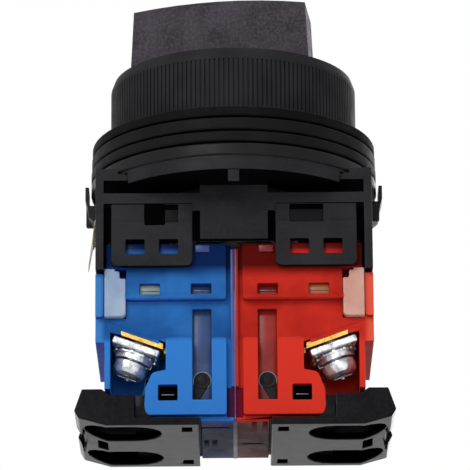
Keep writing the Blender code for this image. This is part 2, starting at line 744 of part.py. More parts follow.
def adapter_face_outline():
    """Returns the adapter's front, before its slots: centre wall, two ears, side walls and corner posts."""
    wall_foot = DECK_Z - CENTRE_WALL_H
    ear_foot = DECK_Z - EAR_H
    ear_inner = CENTRE_WALL_HALF + EAR_GAP
    side_inner = ADAPTER_HALF_X - ADAPTER_SIDE_WALL
    side_foot = DECK_Z - SIDE_WALL_H
    corner = arc((ear_inner + EAR_CORNER_R, ear_foot + EAR_CORNER_R), EAR_CORNER_R, math.pi, 1.5 * math.pi, 4)
    post_top = ADAPTER_TOP_Z + POST_H
    half = [(ear_inner, wall_foot)] + corner
    half += [(side_inner, ear_foot), (side_inner, side_foot), (ADAPTER_HALF_X, side_foot),
             (ADAPTER_HALF_X, post_top), (LIP_HALF_X, post_top), (LIP_HALF_X, ADAPTER_TOP_Z)]
    return mirrored(half)


def outer_slot_outline(side):
    """Returns the slot between an ear and the side wall, with the ear's rounded corner."""
    ear_foot = DECK_Z - EAR_H
    ear_outer = ADAPTER_HALF_X - ADAPTER_SIDE_WALL - EAR_GAP
    side_inner = ADAPTER_HALF_X - ADAPTER_SIDE_WALL
    corner = arc((ear_outer - EAR_CORNER_R, ear_foot + EAR_CORNER_R), EAR_CORNER_R, -math.pi / 2, 0.0, 4)
    outline = [(ear_outer - EAR_CORNER_R, ear_foot - MM)] + corner
    outline += [(ear_outer, DECK_Z), (side_inner, DECK_Z), (side_inner, ear_foot - MM)]
    return [(side * x, z) for x, z in outline]


def cut_ear_slots(face, low_y, high_y):
    """Cuts the slots that free the ears of one face from the centre wall and the side walls."""
    foot = DECK_Z - CENTRE_WALL_H - MM
    for side in (-1, 1):
        edges = sorted((side * CENTRE_WALL_HALF, side * (CENTRE_WALL_HALF + EAR_GAP)))
        slot_top = DECK_Z - EAR_INNER_SLOT_TOP
        cut(face, box("inner_slot", (edges[0], low_y - MM, foot), (edges[1], high_y + MM, slot_top)))
        cut(face, side_slab("outer_slot", outer_slot_outline(side), low_y - MM, high_y + MM))
    settle(face)


def lip_outline():
    """Returns the plan of the curved lip that stands out past the rear face."""
    reach = math.acos(LIP_HALF_X / LIP_R)
    inner = ADAPTER_HALF_Y - ADAPTER_WALL / 2
    return [(LIP_HALF_X, inner)] + arc((0.0, 0.0), LIP_R, reach, math.pi - reach, 17) + [(-LIP_HALF_X, inner)]


def cut_adapter_windows(adapter, turn):
    """Cuts one face's windows; turn sends the front's to the rear."""
    outer_y = -ADAPTER_HALF_Y - MM
    inner_y = -ADAPTER_HALF_Y + ADAPTER_WALL + MM
    pocket_y = -ADAPTER_HALF_Y + POCKET_DEPTH
    upper_top = DECK_Z - WINDOW_UPPER_DROP
    upper_low = upper_top - WINDOW_UPPER_H
    lower_top = WINDOW_LOWER_Z + WINDOW_LOWER_H
    open_low = upper_top - WINDOW_OPEN_H
    tools = [box("upper_left", (-WINDOW_OUTER_U, outer_y, open_low), (-WINDOW_STEP_U, inner_y, upper_top)),
             box("upper_left_pocket", (-WINDOW_STEP_U - MM, outer_y, upper_low),
                 (-WINDOW_INNER_U, pocket_y, upper_top)),
             box("upper_right", (WINDOW_INNER_U, outer_y, upper_low), (WINDOW_OUTER_U, pocket_y, upper_top))]
    for side in (-1, 1):
        for middle in (WINDOW_INNER_U + WINDOW_LOWER_W / 2, WINDOW_OUTER_U + WINDOW_LOWER_W / 2):
            low_x = side * middle - WINDOW_LOWER_W / 2
            high = (low_x + WINDOW_LOWER_W, inner_y, lower_top)
            tools.append(box("lower", (low_x, outer_y, WINDOW_LOWER_Z), high))
    for tool in tools:
        tool.data.transform(turn)
    cut(adapter, *tools)


def build_adapter():
    """The adapter between the operator and the contact blocks, open below and at the lever's slots."""
    face = adapter_face_outline()
    inner_y = ADAPTER_HALF_Y - ADAPTER_WALL
    inner_x = ADAPTER_HALF_X - ADAPTER_SIDE_WALL
    overlap = ADAPTER_WALL / 2
    side_foot = DECK_Z - SIDE_WALL_H
    post_top = ADAPTER_TOP_Z + POST_H
    adapter = side_slab("adapter_body", face, -ADAPTER_HALF_Y, -inner_y)
    cut_ear_slots(adapter, -ADAPTER_HALF_Y, -inner_y)
    rear = side_slab("rear_face", face, inner_y, ADAPTER_HALF_Y)
    cut_ear_slots(rear, inner_y, ADAPTER_HALF_Y)
    join(adapter, rear)
    for side in (-1, 1):
        edges = sorted((side * inner_x, side * ADAPTER_HALF_X))
        join(adapter, box("side_wall", (edges[0], -inner_y - overlap, side_foot),
                          (edges[1], inner_y + overlap, post_top)))
    reach_x, reach_y = inner_x + overlap, inner_y + overlap
    join(adapter, box("deck", (-reach_x, -reach_y, DECK_Z), (reach_x, reach_y, DECK_TOP_Z)))
    top_low = ADAPTER_TOP_Z - ADAPTER_TOP_T
    join(adapter, box("top", (-reach_x, -reach_y, top_low), (reach_x, reach_y, ADAPTER_TOP_Z)))
    for turn in (Matrix(), Matrix.Rotation(math.pi, 4, "Z")):
        lip = plan_slab("lip", lip_outline(), ADAPTER_TOP_Z - LIP_T, ADAPTER_TOP_Z)
        lip.data.transform(turn)
        join(adapter, lip)
    tab_y = -LIP_R + DISC_EDGE
    tab_top = ADAPTER_TOP_Z - LIP_T / 2
    join(adapter, box("key_tab", (-KEY_TAB_HALF, tab_y, ADAPTER_TOP_Z - LIP_T - KEY_TAB_H),
                      (KEY_TAB_HALF, tab_y + KEY_TAB_T, tab_top)))
    settle(adapter)
    cut_slots(adapter)
    for turn in (Matrix(), Matrix.Rotation(math.pi, 4, "Z")):
        cut_adapter_windows(adapter, turn)
    return finish(adapter, BLACK_SATIN)


def cut_slots(adapter):
    """Opens the lever's slots, the shaft's bore, the flange's seat and the ears' upper recess."""
    inner_x = ADAPTER_HALF_X - ADAPTER_SIDE_WALL
    top_low = ADAPTER_TOP_Z - ADAPTER_TOP_T
    for side in (-1, 1):
        edges = sorted((side * CENTRE_WALL_HALF, side * inner_x))
        cut(adapter, *both_fronts("band", (edges[0], ADAPTER_HALF_Y - 2 * ADAPTER_WALL, DECK_TOP_Z),
                                  (edges[1], ADAPTER_HALF_Y + MM, top_low)))
        outer = sorted((side * (inner_x - MM), side * (ADAPTER_HALF_X + MM)))
        half = LOCK_HALF_W + LOCK_TIP_X * math.sin(LOCK_SWEEP) + RUN_GAP
        slot_low = LOCK_Z - LOCK_EAR_DROP - RUN_GAP
        cut(adapter, box("side_slot", (outer[0], -half, slot_low), (outer[1], half, top_low)))
        ear = sorted((side * (CENTRE_WALL_HALF + EAR_GAP), side * (inner_x - EAR_GAP)))
        cut(adapter, *both_fronts("ear_recess",
                                  (ear[0], ADAPTER_HALF_Y - EAR_RECESS_DEPTH, DECK_Z - EAR_RECESS_H),
                                  (ear[1], ADAPTER_HALF_Y + MM, DECK_Z)))
    bore = SHAFT_FOOT_R + RUN_GAP
    cut(adapter, cylinder("bore", bore, DECK_Z - MM, ADAPTER_TOP_Z + MM, steps=SHAFT_STEPS))
    seat = cylinder("flange_seat", FLANGE_R + SEAT_GAP, ADAPTER_TOP_Z, FLANGE_Z + FLANGE_T, steps=BIG_STEPS)
    cut(adapter, seat)


def lock_ear_outline():
    """Returns the side view of the lever's outer end: a hook down the side wall and an upturned tab."""
    low = LOCK_Z - LOCK_EAR_DROP
    top = LOCK_Z + LOCK_T
    tab_inner = LOCK_TIP_X - LOCK_TAB_T
    return [(LOCK_EAR_X - 2 * MM, LOCK_Z), (LOCK_EAR_X, LOCK_Z), (LOCK_EAR_X, low),
            (tab_inner, LOCK_Z - MM / 2), (LOCK_TIP_X - LOCK_TAB_T / 2, top), (LOCK_TIP_X, top + MM),
            (LOCK_TIP_X, LOCK_Z + LOCK_TAB_H), (tab_inner, LOCK_Z + LOCK_TAB_H), (tab_inner, top),
            (LOCK_EAR_X - 2 * MM, top)]


def build_lock_lever():
    """The flat lever in the slot band, turned by the tab at either side."""
    top = LOCK_Z + LOCK_T
    bore = SHAFT_FOOT_R + RUN_GAP
    profile = [(bore, top), (LOCK_RING_R, top), (LOCK_RING_R, LOCK_Z), (bore, LOCK_Z)]
    lever = turned("lock_lever", profile, steps=CAM_STEPS, closed=True)
    for side in (-1, 1):
        arm = sorted((side * (LOCK_RING_R - MM), side * (LOCK_EAR_X - MM)))
        join(lever, box("arm", (arm[0], -LOCK_HALF_W, LOCK_Z), (arm[1], LOCK_HALF_W, top)))
        outline = [(side * x, z) for x, z in lock_ear_outline()]
        join(lever, side_slab("ear", outline, -LOCK_HALF_W, LOCK_HALF_W))
    finish(lever, BLACK_SATIN)
    carry(axis_empty("lock_axis", (0.0, 0.0, LOCK_Z)), lever)


def build_label():
    """The paper label on the left wall, its lower edge lifted off."""
    top = LOCK_Z - LOCK_EAR_DROP - RUN_GAP - LABEL_TOP_DROP
    inner = []
    for i in range(LABEL_POINTS):
        share = i / (LABEL_POINTS - 1)
        inner.append((-ADAPTER_HALF_X - SEAT_GAP - LABEL_LIFT * share ** 2, top - LABEL_H * share))
    outer = [(x - LABEL_T, z) for x, z in reversed(inner)]
    label = side_slab("side_label", inner + outer, -LABEL_HALF_Y, LABEL_HALF_Y)
    finish(label, PAPER)


# Contact blocks, each built with u along +X and then turned to its side

def terminal_frame(side):
    """Returns the frame on the plate's middle, its +Z pointing down and outwards along the screw."""
    place = Matrix.Translation((TERMINAL_U, side * TERMINAL_Y, TERMINAL_Z))
    return place @ Matrix.Rotation(math.pi - TERMINAL_TILT, 4, "Y")


def plate_level(u, offset):
    """Returns the level of a line along the tilted plate, offset upwards from its middle."""
    return TERMINAL_Z + (u - TERMINAL_U) * math.tan(TERMINAL_TILT) + offset / math.cos(TERMINAL_TILT)


def housing_outline():
    """Returns the housing's side view, with the middle wall between its terminal pockets."""
    rise = BLOCK_CHAMFER
    return [(BLOCK_INNER_U, BLOCK_BOTTOM_Z - BLOCK_FOOT_H), (BLOCK_FOOT_U, BLOCK_BOTTOM_Z - BLOCK_FOOT_H),
            (BLOCK_FOOT_U, BLOCK_BOTTOM_Z), (LOWER_PLATE_NOSE_U - rise, BLOCK_BOTTOM_Z),
            (LOWER_PLATE_NOSE_U, BLOCK_BOTTOM_Z + 2 * rise), (LOWER_PLATE_NOSE_U, SKIRT_BOTTOM_Z),
            (SKIRT_OUTER_U, SKIRT_BOTTOM_Z), (SKIRT_OUTER_U, BLOCK_SKIRT_Z), (BLOCK_OUTER_U, BLOCK_SKIRT_Z),
            (BLOCK_OUTER_U, BLOCK_SHOULDER_Z), (SKIRT_OUTER_U - RUN_GAP, BLOCK_SHOULDER_Z),
            (SKIRT_OUTER_U - RUN_GAP, BLOCK_TOP_Z), (BLOCK_INNER_U + rise, BLOCK_TOP_Z),
            (BLOCK_INNER_U, BLOCK_TOP_Z - rise)]


def pocket_outline():
    """Returns the side view of a terminal pocket, open below, its ceiling along the tilted plate."""
    inner_wall = SKIRT_OUTER_U - SKIRT_WALL
    clear = STRIP_T / 2 + SEAT_GAP
    heel = LOWER_PLATE_NOSE_U - CHEEK_WALL
    foot = LOWER_PLATE_NOSE_U + CHEEK_WALL
    return [(LOWER_PLATE_U, plate_level(LOWER_PLATE_U, clear)), (LOWER_PLATE_U, CHEEK_TOP_Z),
            (CHEEK_STEP_U, CHEEK_STEP_Z), (heel, CHEEK_HEEL_Z), (foot, COVER_HEEL_Z), (foot, -MM),
            (inner_wall, -MM), (inner_wall, plate_level(inner_wall, clear))]


def lower_plate_outline():
    """Returns the front plate round the sight window, from the text field down."""
    nose = LOWER_PLATE_NOSE_U
    return [(PLATE_INNER_U, LOWER_PLATE_BOTTOM_Z), (nose - NOSE_CORNER_U, LOWER_PLATE_BOTTOM_Z),
            (nose, NOSE_CORNER_Z), (nose - CHEEK_HEEL_DRAW, CHEEK_HEEL_Z), (CHEEK_STEP_U, CHEEK_STEP_Z),
            (LOWER_PLATE_U, CHEEK_TOP_Z), (LOWER_PLATE_U, LOWER_PLATE_TOP_Z),
            (PLATE_INNER_U, LOWER_PLATE_TOP_Z)]


def upper_plate_outline():
    """Returns the front plate above the text field, with its outer strip beside the clip."""
    strip_z = CLIP_Z - SEAT_GAP
    return [(PLATE_INNER_U, UPPER_PLATE_Z), (UPPER_PLATE_U, UPPER_PLATE_Z), (UPPER_PLATE_U, strip_z),
            (BLOCK_OUTER_U, strip_z), (BLOCK_OUTER_U, BLOCK_SHOULDER_Z),
            (SKIRT_OUTER_U - RUN_GAP, BLOCK_SHOULDER_Z), (SKIRT_OUTER_U - RUN_GAP, BLOCK_TOP_Z),
            (PLATE_INNER_U, BLOCK_TOP_Z)]


def build_housing(name, finish_kind):
    """The contact block's moulding: cavity, sight windows, test slots, clip seats and terminal pockets."""
    front = BLOCK_FRONT_Y
    inner = BLOCK_HALF_Y - MM
    housing = side_slab(name, housing_outline(), -BLOCK_HALF_Y, BLOCK_HALF_Y)
    for low, high in ((-front, -inner), (inner, front)):
        join(housing, side_slab("upper_plate", upper_plate_outline(), low, high))
        join(housing, side_slab("lower_plate", lower_plate_outline(), low, high))
    settle(housing)
    cavity_top = BLOCK_TOP_Z - CAVITY_TOP_WALL
    cut(housing, box("cavity", (CAVITY_INNER_U, -CAVITY_HALF_Y, CAVITY_BOTTOM_Z),
                     (CAVITY_OUTER_U, CAVITY_HALF_Y, cavity_top)))
    reach = front + MM
    for low, high in ((-reach, -MID_WALL_HALF), (MID_WALL_HALF, reach)):
        cut(housing, side_slab("pocket", pocket_outline(), low, high))
    cut(housing, cylinder("plunger_bore", PLUNGER_STEM_R + RUN_GAP, cavity_top - MM, BLOCK_TOP_Z + MM,
                          centre=(PLUNGER_U, 0.0)))
    cut_housing_fronts(housing, reach)
    cut_terminal_seats(housing)
    return finish(housing, finish_kind)


def cut_housing_fronts(housing, reach):
    """Cuts the windows, slots, catches and clip seats of both faces."""
    through = CAVITY_HALF_Y - MM
    front = BLOCK_FRONT_Y
    sight_high = (SIGHT_U + SIGHT_W, reach, SIGHT_Z + SIGHT_H)
    cut(housing, *both_fronts("sight", (SIGHT_U, through, SIGHT_Z), sight_high))
    slot_top = TEST_SLOT_Z + TEST_SLOT_H
    slot_high = (SIGHT_U + TEST_SLOT_W, reach, slot_top)
    cut(housing, *both_fronts("inner_slot", (SIGHT_U, through, TEST_SLOT_Z), slot_high))
    cut(housing, *both_fronts("outer_slot", (TEST_SLOT_OUTER_U, front - TEST_SLOT_DEPTH, TEST_SLOT_Z),
                              (TEST_SLOT_OUTER_U + TEST_SLOT_W, reach, slot_top)))
    cut(housing, *both_fronts("catch", (CATCH_U, front - CATCH_DEPTH, CATCH_Z),
                              (CATCH_U + CATCH_W, reach, CATCH_Z + CATCH_H)))
    seat_low = (CLIP_U - SEAT_GAP, front - CLIP_T - SEAT_GAP, CLIP_Z - SEAT_GAP)
    seat_high = (CLIP_U + CLIP_W + SEAT_GAP, reach, CLIP_Z + CLIP_H + SEAT_GAP)
    cut(housing, *both_fronts("clip_seat", seat_low, seat_high))


def cut_terminal_seats(housing):
    """Cuts the slots that let the brass strips in and the bores over the screws' tips."""
    low_z = strip_level() - STRIP_T / 2 - SEAT_GAP
    high_z = strip_level() + STRIP_T / 2 + SEAT_GAP
    low_y = TERMINAL_Y - STRIP_W / 2 - SEAT_GAP
    cut(housing, *both_fronts("strip_slot", (CAVITY_OUTER_U - MM, low_y, low_z),
                              (LOWER_PLATE_U + MM, low_y + STRIP_INNER_W + 2 * SEAT_GAP, high_z)))
    tip = SCREW_LENGTH - screw_seat() + SEAT_GAP
    for side in (-1, 1):
        cut(housing, cylinder("tip_bore", SCREW_HOLE_R, -tip, 0.0, frame=terminal_frame(side)))


def strip_level():
    """Returns the level of the strip's middle inside the cavity."""
    return plate_level(STRIP_BEND_U, 0.0)


def screw_seat():
    """Returns where the screw head's underside lies along the screw, from the plate's middle."""
    return STRIP_T / 2 + SQUARE_WASHER_T + SPRING_WASHER_T + 3 * SEAT_GAP


def build_terminal(name, side, tip_up):
    """The brass strip: clamped flat under the pocket's ceiling, bent level to its contact inside."""
    half = STRIP_T / 2
    outer_u = TERMINAL_U + STRIP_OUTER * math.cos(TERMINAL_TILT)
    level = strip_level()
    outline = [(outer_u, plate_level(outer_u, half)), (STRIP_BEND_U, level + half),
               (STRIP_INNER_U, level + half), (STRIP_INNER_U, level - half), (STRIP_BEND_U, level - half),
               (outer_u, plate_level(outer_u, -half))]
    inner_y = TERMINAL_Y - STRIP_W / 2
    outer_y = TERMINAL_Y + STRIP_W / 2
    edges = sorted((side * inner_y, side * outer_y))
    strip = side_slab(name, outline, *edges)
    cut(strip, cylinder("hole", SCREW_HOLE_R, -STRIP_T * 2, STRIP_T * 2, frame=terminal_frame(side)))
    notch = sorted((side * (inner_y + STRIP_INNER_W), side * (outer_y + MM)))
    notch_low = (STRIP_INNER_U - MM, notch[0], level - 2 * MM)
    cut(strip, box("notch", notch_low, (STRIP_BEND_U, notch[1], level + 2 * MM)))
    middle_y = side * (inner_y + STRIP_INNER_W / 2)
    tip_u = STRIP_INNER_U + 1.5 * CONTACT_TIP_R
    low, high = (level, level + half + CONTACT_TIP_T) if tip_up else (level - half - CONTACT_TIP_T, level)
    join(strip, cylinder("tip", CONTACT_TIP_R, low, high, centre=(tip_u, middle_y), steps=TIP_STEPS))
    return finish(strip, BRASS)


def build_screw(name, side):
    """The pan-head terminal screw with its cross recess."""
    seat = screw_seat()
    top = seat + SCREW_HEAD_T
    tip = seat - SCREW_LENGTH
    crown = [(SCREW_HEAD_R * across, top - SCREW_HEAD_T * down) for across, down in SCREW_CROWN]
    profile = [(0.0, top)] + crown
    profile += [(SCREW_HEAD_R, seat), (SCREW_SHANK_R, seat), (SCREW_SHANK_R, tip + SCREW_POINT),
                (SCREW_SHANK_R - SCREW_POINT, tip), (0.0, tip)]
    screw = turned(name, profile, steps=SMALL_STEPS)
    arms = ((CROSS_L, CROSS_W), (CROSS_W, CROSS_L))
    for length, width in arms:
        low = (-length / 2, -width / 2, top - CROSS_DEPTH)
        cut(screw, box("cross", low, (length / 2, width / 2, top + MM)))
    settle(screw)
    screw.data.transform(terminal_frame(side))
    return finish(screw, ZINC)


def build_square_washer(name, side):
    """The square clamping washer under the brass strip."""
    low = STRIP_T / 2 + SEAT_GAP
    half = SQUARE_WASHER_W / 2
    washer = box(name, (-half, -half, low), (half, half, low + SQUARE_WASHER_T))
    bevel(washer, SQUARE_WASHER_T / 6, 1)
    settle(washer)
    cut(washer, cylinder("hole", SCREW_HOLE_R, low - MM, low + SQUARE_WASHER_T + MM))
    settle(washer)
    washer.data.transform(terminal_frame(side))
    return finish(washer, ZINC)


def build_spring_washer(name, side):
    """The split spring washer under the screw's head."""
    low = STRIP_T / 2 + SQUARE_WASHER_T + 2 * SEAT_GAP
    high = low + SPRING_WASHER_T
    profile = [(SCREW_HOLE_R, high), (SPRING_WASHER_R, high), (SPRING_WASHER_R, low), (SCREW_HOLE_R, low)]
    washer = turned(name, profile, steps=SMALL_STEPS, closed=True)
    half = SPRING_WASHER_SPLIT / 2
    cut(washer, box("split", (0.0, -half, low - MM), (SPRING_WASHER_R + MM, half, high + MM)))
    settle(washer)
    washer.data.transform(terminal_frame(side))
    return finish(washer, ZINC)


def build_clip(name, side):
    """The milky latch clip in the block's outer top corner, stepped at its top."""
    right = CLIP_U + CLIP_W
    top = CLIP_Z + CLIP_H
    chamfer = CLIP_STEP_U / 2
    outline = [(CLIP_U, CLIP_Z + chamfer), (CLIP_U + chamfer, CLIP_Z), (right, CLIP_Z), (right, top),
               (right - CLIP_W / 2, top), (right - CLIP_W / 2, top - CLIP_STEP_H / 4),
               (CLIP_U + CLIP_STEP_U, top - CLIP_STEP_H / 4), (CLIP_U + CLIP_STEP_U, top - CLIP_STEP_H),
               (CLIP_U, top - CLIP_STEP_H)]
    front = BLOCK_FRONT_Y
    edges = sorted((side * (front - CLIP_T), side * front))
    return finish(side_slab(name, outline, *edges), MILKY)


def build_plunger(name):
    """The plunger: a tip under the cam, a stem through the block's top, a collar and a foot."""
    tip_z = DECK_Z - CAM_DECK_GAP - CAM_T - RUN_GAP
    stem_top = tip_z - PLUNGER_TIP_H
    collar_top = BLOCK_TOP_Z - CAVITY_TOP_WALL - SEAT_GAP
    foot_z = CARRIER_Z + CARRIER_H + SEAT_GAP
    edge = PLUNGER_TIP_EDGE
    profile = [(0.0, tip_z), (PLUNGER_TIP_R - edge, tip_z), (PLUNGER_TIP_R, tip_z - edge),
               (PLUNGER_TIP_R, stem_top), (PLUNGER_STEM_R, stem_top), (PLUNGER_STEM_R, collar_top),
               (PLUNGER_COLLAR_R, collar_top), (PLUNGER_COLLAR_R, collar_top - PLUNGER_COLLAR_T),
               (PLUNGER_STEM_R, collar_top - PLUNGER_COLLAR_T), (PLUNGER_STEM_R, foot_z), (0.0, foot_z)]
    plunger = turned(name, profile, steps=PLUNGER_STEPS)
    plunger.data.transform(Matrix.Translation((PLUNGER_U, 0.0, 0.0)))
    foot = box("foot", (CARRIER_U, -CARRIER_HALF_Y, foot_z),
               (CARRIER_U + CARRIER_W, CARRIER_HALF_Y, foot_z + PLUNGER_FOOT_H))
    flat_top = BLOCK_TOP_Z - CAVITY_TOP_WALL + PLUNGER_TRAVEL + RUN_GAP
    cut(plunger, box("stem_flat", (CAVITY_OUTER_U - RUN_GAP, -PLUNGER_COLLAR_R - MM, foot_z - MM),
                     (CAVITY_OUTER_U + 2 * MM, PLUNGER_COLLAR_R + MM, flat_top)))
    settle(plunger)
    join(plunger, foot)
    return finish(plunger, WHITE)


def pointer_outline():
    """Returns the pointer's front view: a round head with a tail along its outer side."""
    head = arc((POINTER_U, POINTER_Z), POINTER_R, 0.0, 1.25 * math.pi, 14)
    outer = POINTER_U + POINTER_R
    return head + [(outer - POINTER_TAIL_W, POINTER_TAIL_Z), (outer, POINTER_TAIL_Z)]


def build_carrier(name, bridge_level):
    """The contact carrier: a column with the bridge's slot and a pointer behind each sight window."""
    carrier = box(name, (CARRIER_U, -CARRIER_HALF_Y, CARRIER_Z),
                  (CARRIER_U + CARRIER_W, CARRIER_HALF_Y, CARRIER_Z + CARRIER_H))
    half = BRIDGE_T / 2 + RUN_GAP
    middle = CARRIER_U + CARRIER_W / 2
    slot = BRIDGE_W / 2 + RUN_GAP
    cut(carrier, box("slot", (middle - slot, -CARRIER_HALF_Y - MM, bridge_level - half),
                     (middle + slot, CARRIER_HALF_Y + MM, bridge_level + half)))
    settle(carrier)
    pointer_y = CAVITY_HALF_Y - RUN_GAP
    arm = POINTER_ARM_HALF
    join(carrier, box("arm", (POINTER_U - arm, -pointer_y + POINTER_T / 2, POINTER_Z - arm),
                      (POINTER_U + arm, pointer_y - POINTER_T / 2, CARRIER_Z + arm)))
    for low, high in ((-pointer_y, -pointer_y + POINTER_T), (pointer_y - POINTER_T, pointer_y)):
        join(carrier, side_slab("pointer", pointer_outline(), low, high))
    return finish(carrier, BLACK_SATIN)


def build_bridge(name, level, tip_down):
    """The moving contact bridge across both strips, with a contact tip at each end."""
    middle = CARRIER_U + CARRIER_W / 2
    half = BRIDGE_T / 2
    bridge = box(name, (middle - BRIDGE_W / 2, -BRIDGE_HALF_Y, level - half),
                 (middle + BRIDGE_W / 2, BRIDGE_HALF_Y, level + half))
    tip_y = TERMINAL_Y - STRIP_W / 2 + STRIP_INNER_W / 2
    low, high = (level - half - CONTACT_TIP_T, level) if tip_down else (level, level + half + CONTACT_TIP_T)
    for side in (-1, 1):
        centre = (middle, side * tip_y)
        join(bridge, cylinder("tip", CONTACT_TIP_R, low, high, centre=centre, steps=TIP_STEPS))
    return finish(bridge, SILVER)


def build_return_spring(name):
    """The return spring between the cavity's floor and the carrier's arm, a coil of round wire."""
    low = CAVITY_BOTTOM_Z + SEAT_GAP + SPRING_WIRE_R
    high = POINTER_Z - POINTER_ARM_HALF - SEAT_GAP - SPRING_WIRE_R
    middle = CARRIER_U + CARRIER_W / 2
    count = int(SPRING_TURNS * SPRING_POINTS_PER_TURN) + 1
    curve = bpy.data.curves.new(name + "_wire", "CURVE")
    curve.dimensions = "3D"
    curve.bevel_depth = SPRING_WIRE_R
    curve.bevel_resolution = 0
    curve.use_fill_caps = True
    spline = curve.splines.new("POLY")
    spline.points.add(count - 1)
    for i, point in enumerate(spline.points):
        angle = 2 * math.pi * i / SPRING_POINTS_PER_TURN
        level = low + (high - low) * i / (count - 1)
        point.co = (middle + SPRING_R * math.cos(angle), SPRING_R * math.sin(angle), level, 1.0)
    wire = bpy.data.objects.new(name + "_wire", curve)
    PARTS.objects.link(wire)
    return finish(curve_to_mesh(wire, name), ZINC)


def cover_outline():
    """Returns the cover's side view: flat foot, heel, end wall and the flap beside the terminals."""
    return [(COVER_INNER_U, 0.0), (COVER_FLAT_U, 0.0), (COVER_HEEL_U, COVER_HEEL_Z),
            (COVER_OUTER_U, COVER_OUTER_Z), (COVER_TOP_U, COVER_TOP_Z),
            (COVER_FLAP_STEP_U + COVER_FLAP_RISE, COVER_TOP_Z),
            (COVER_FLAP_STEP_U, COVER_FLAP_Z), (COVER_FLAP_U, COVER_FLAP_Z), (COVER_FLAP_U, COVER_T),
            (COVER_INNER_U, COVER_T)]


def cover_inside():
    """Returns the side view of the room inside the cover."""
    wall = COVER_T
    return [(COVER_INNER_U - MM, wall), (COVER_FLAT_U - COVER_FOOT_DRAW, wall),
            (COVER_HEEL_U - COVER_HEEL_DRAW, COVER_HEEL_Z + wall),
            (COVER_OUTER_U - wall, COVER_OUTER_Z + COVER_WALL_RISE), (COVER_TOP_U - wall, COVER_TOP_Z + MM),
            (COVER_INNER_U - MM, COVER_TOP_Z + MM)]


def stadium(centre, length, width, count=9):
    """Returns the plan of a slot with round ends, its length along x."""
    reach = (length - width) / 2
    right = arc((centre[0] + reach, centre[1]), width / 2, -math.pi / 2, math.pi / 2, count)
    left = arc((centre[0] - reach, centre[1]), width / 2, math.pi / 2, 1.5 * math.pi, count)
    return right + left


def build_cover(name):
    """The finger guard under a block: two oval screwdriver slots, a hook and the key slots."""
    cover = side_slab(name, cover_outline(), -COVER_HALF_Y, COVER_HALF_Y)
    inner_y = COVER_HALF_Y - COVER_T
    cut(cover, side_slab("room", cover_inside(), -inner_y, inner_y))
    for side in (-1, 1):
        centre = (COVER_SLOT_U + COVER_SLOT_L / 2, side * (COVER_SLOT_Y + COVER_SLOT_W / 2))
        cut(cover, plan_slab("oval", stadium(centre, COVER_SLOT_L, COVER_SLOT_W), -MM, COVER_TOP_Z - MM))
        key = sorted((side * COVER_KEY_Y, side * (COVER_KEY_Y + COVER_KEY_L)))
        cut(cover, box("key", (COVER_KEY_U, key[0], -MM), (COVER_KEY_U + COVER_KEY_W, key[1], COVER_T + MM)))
    cut(cover, box("hole", (COVER_FLAT_U, -COVER_HOLE_HALF_Y, -MM),
                   (COVER_FLAT_U + COVER_HOLE_W, COVER_HOLE_HALF_Y, COVER_TOP_Z / 2)))
    cut(cover, box("hook", (COVER_OUTER_U - COVER_HOOK_DEPTH, -COVER_HOOK_HALF_Y, -MM),
                   (COVER_OUTER_U + MM, COVER_HOOK_HALF_Y, COVER_OUTER_Z + COVER_HOOK_RISE)))
    return finish(cover, BLACK_GLOSSY)


def build_block(colour, finish_kind, turn, normally_open):
    """Builds one contact block with its terminals and cover, then turns it to its side."""
    level = strip_level()
    reach = STRIP_T / 2 + BRIDGE_T / 2 + RUN_GAP + 2 * CONTACT_TIP_T
    bridge_level = level + reach + PLUNGER_TRAVEL if normally_open else level - reach
    pieces = [build_housing(colour + "_housing", finish_kind), build_cover(colour + "_cover"),
              build_return_spring(colour + "_return_spring")]
    for side, place in ((-1, "front"), (1, "rear")):
        pieces += [build_terminal(f"{colour}_terminal_{place}", side, normally_open),
                   build_screw(f"{colour}_screw_{place}", side),
                   build_square_washer(f"{colour}_square_washer_{place}", side),
                   build_spring_washer(f"{colour}_spring_washer_{place}", side),
                   build_clip(f"{colour}_clip_{place}", side)]
    moving = [build_plunger(colour + "_plunger"), build_carrier(colour + "_carrier", bridge_level),
              build_bridge(colour + "_bridge", bridge_level, normally_open)]
    for piece in pieces + moving:
        piece.data.transform(turn @ piece.matrix_world)
        piece.matrix_world = Matrix()
    carry(axis_empty(colour + "_plunger_axis", turn @ Vector((PLUNGER_U, 0.0, BLOCK_TOP_Z))), *moving)


build_operator()
build_adapter()
build_lock_lever()
build_label()
build_block("red", RED, Matrix(), normally_open=False)
build_block("blue", BLUE, Matrix.Rotation(math.pi, 4, "Z"), normally_open=True)
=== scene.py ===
"""A selector switch: lever handle, knurled ring, panel discs, adapter, a blue and a red contact block.

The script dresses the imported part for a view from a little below, lever up.  Each sub-assembly is a
class with its sizes as fields, each finish a frozen dataclass, and main() builds them in order.
"""

import logging
import math
from collections.abc import Callable, Iterator, Sequence
from contextlib import contextmanager
from dataclasses import dataclass
from enum import Enum

import bmesh
import bpy
from mathutils import Matrix, Vector


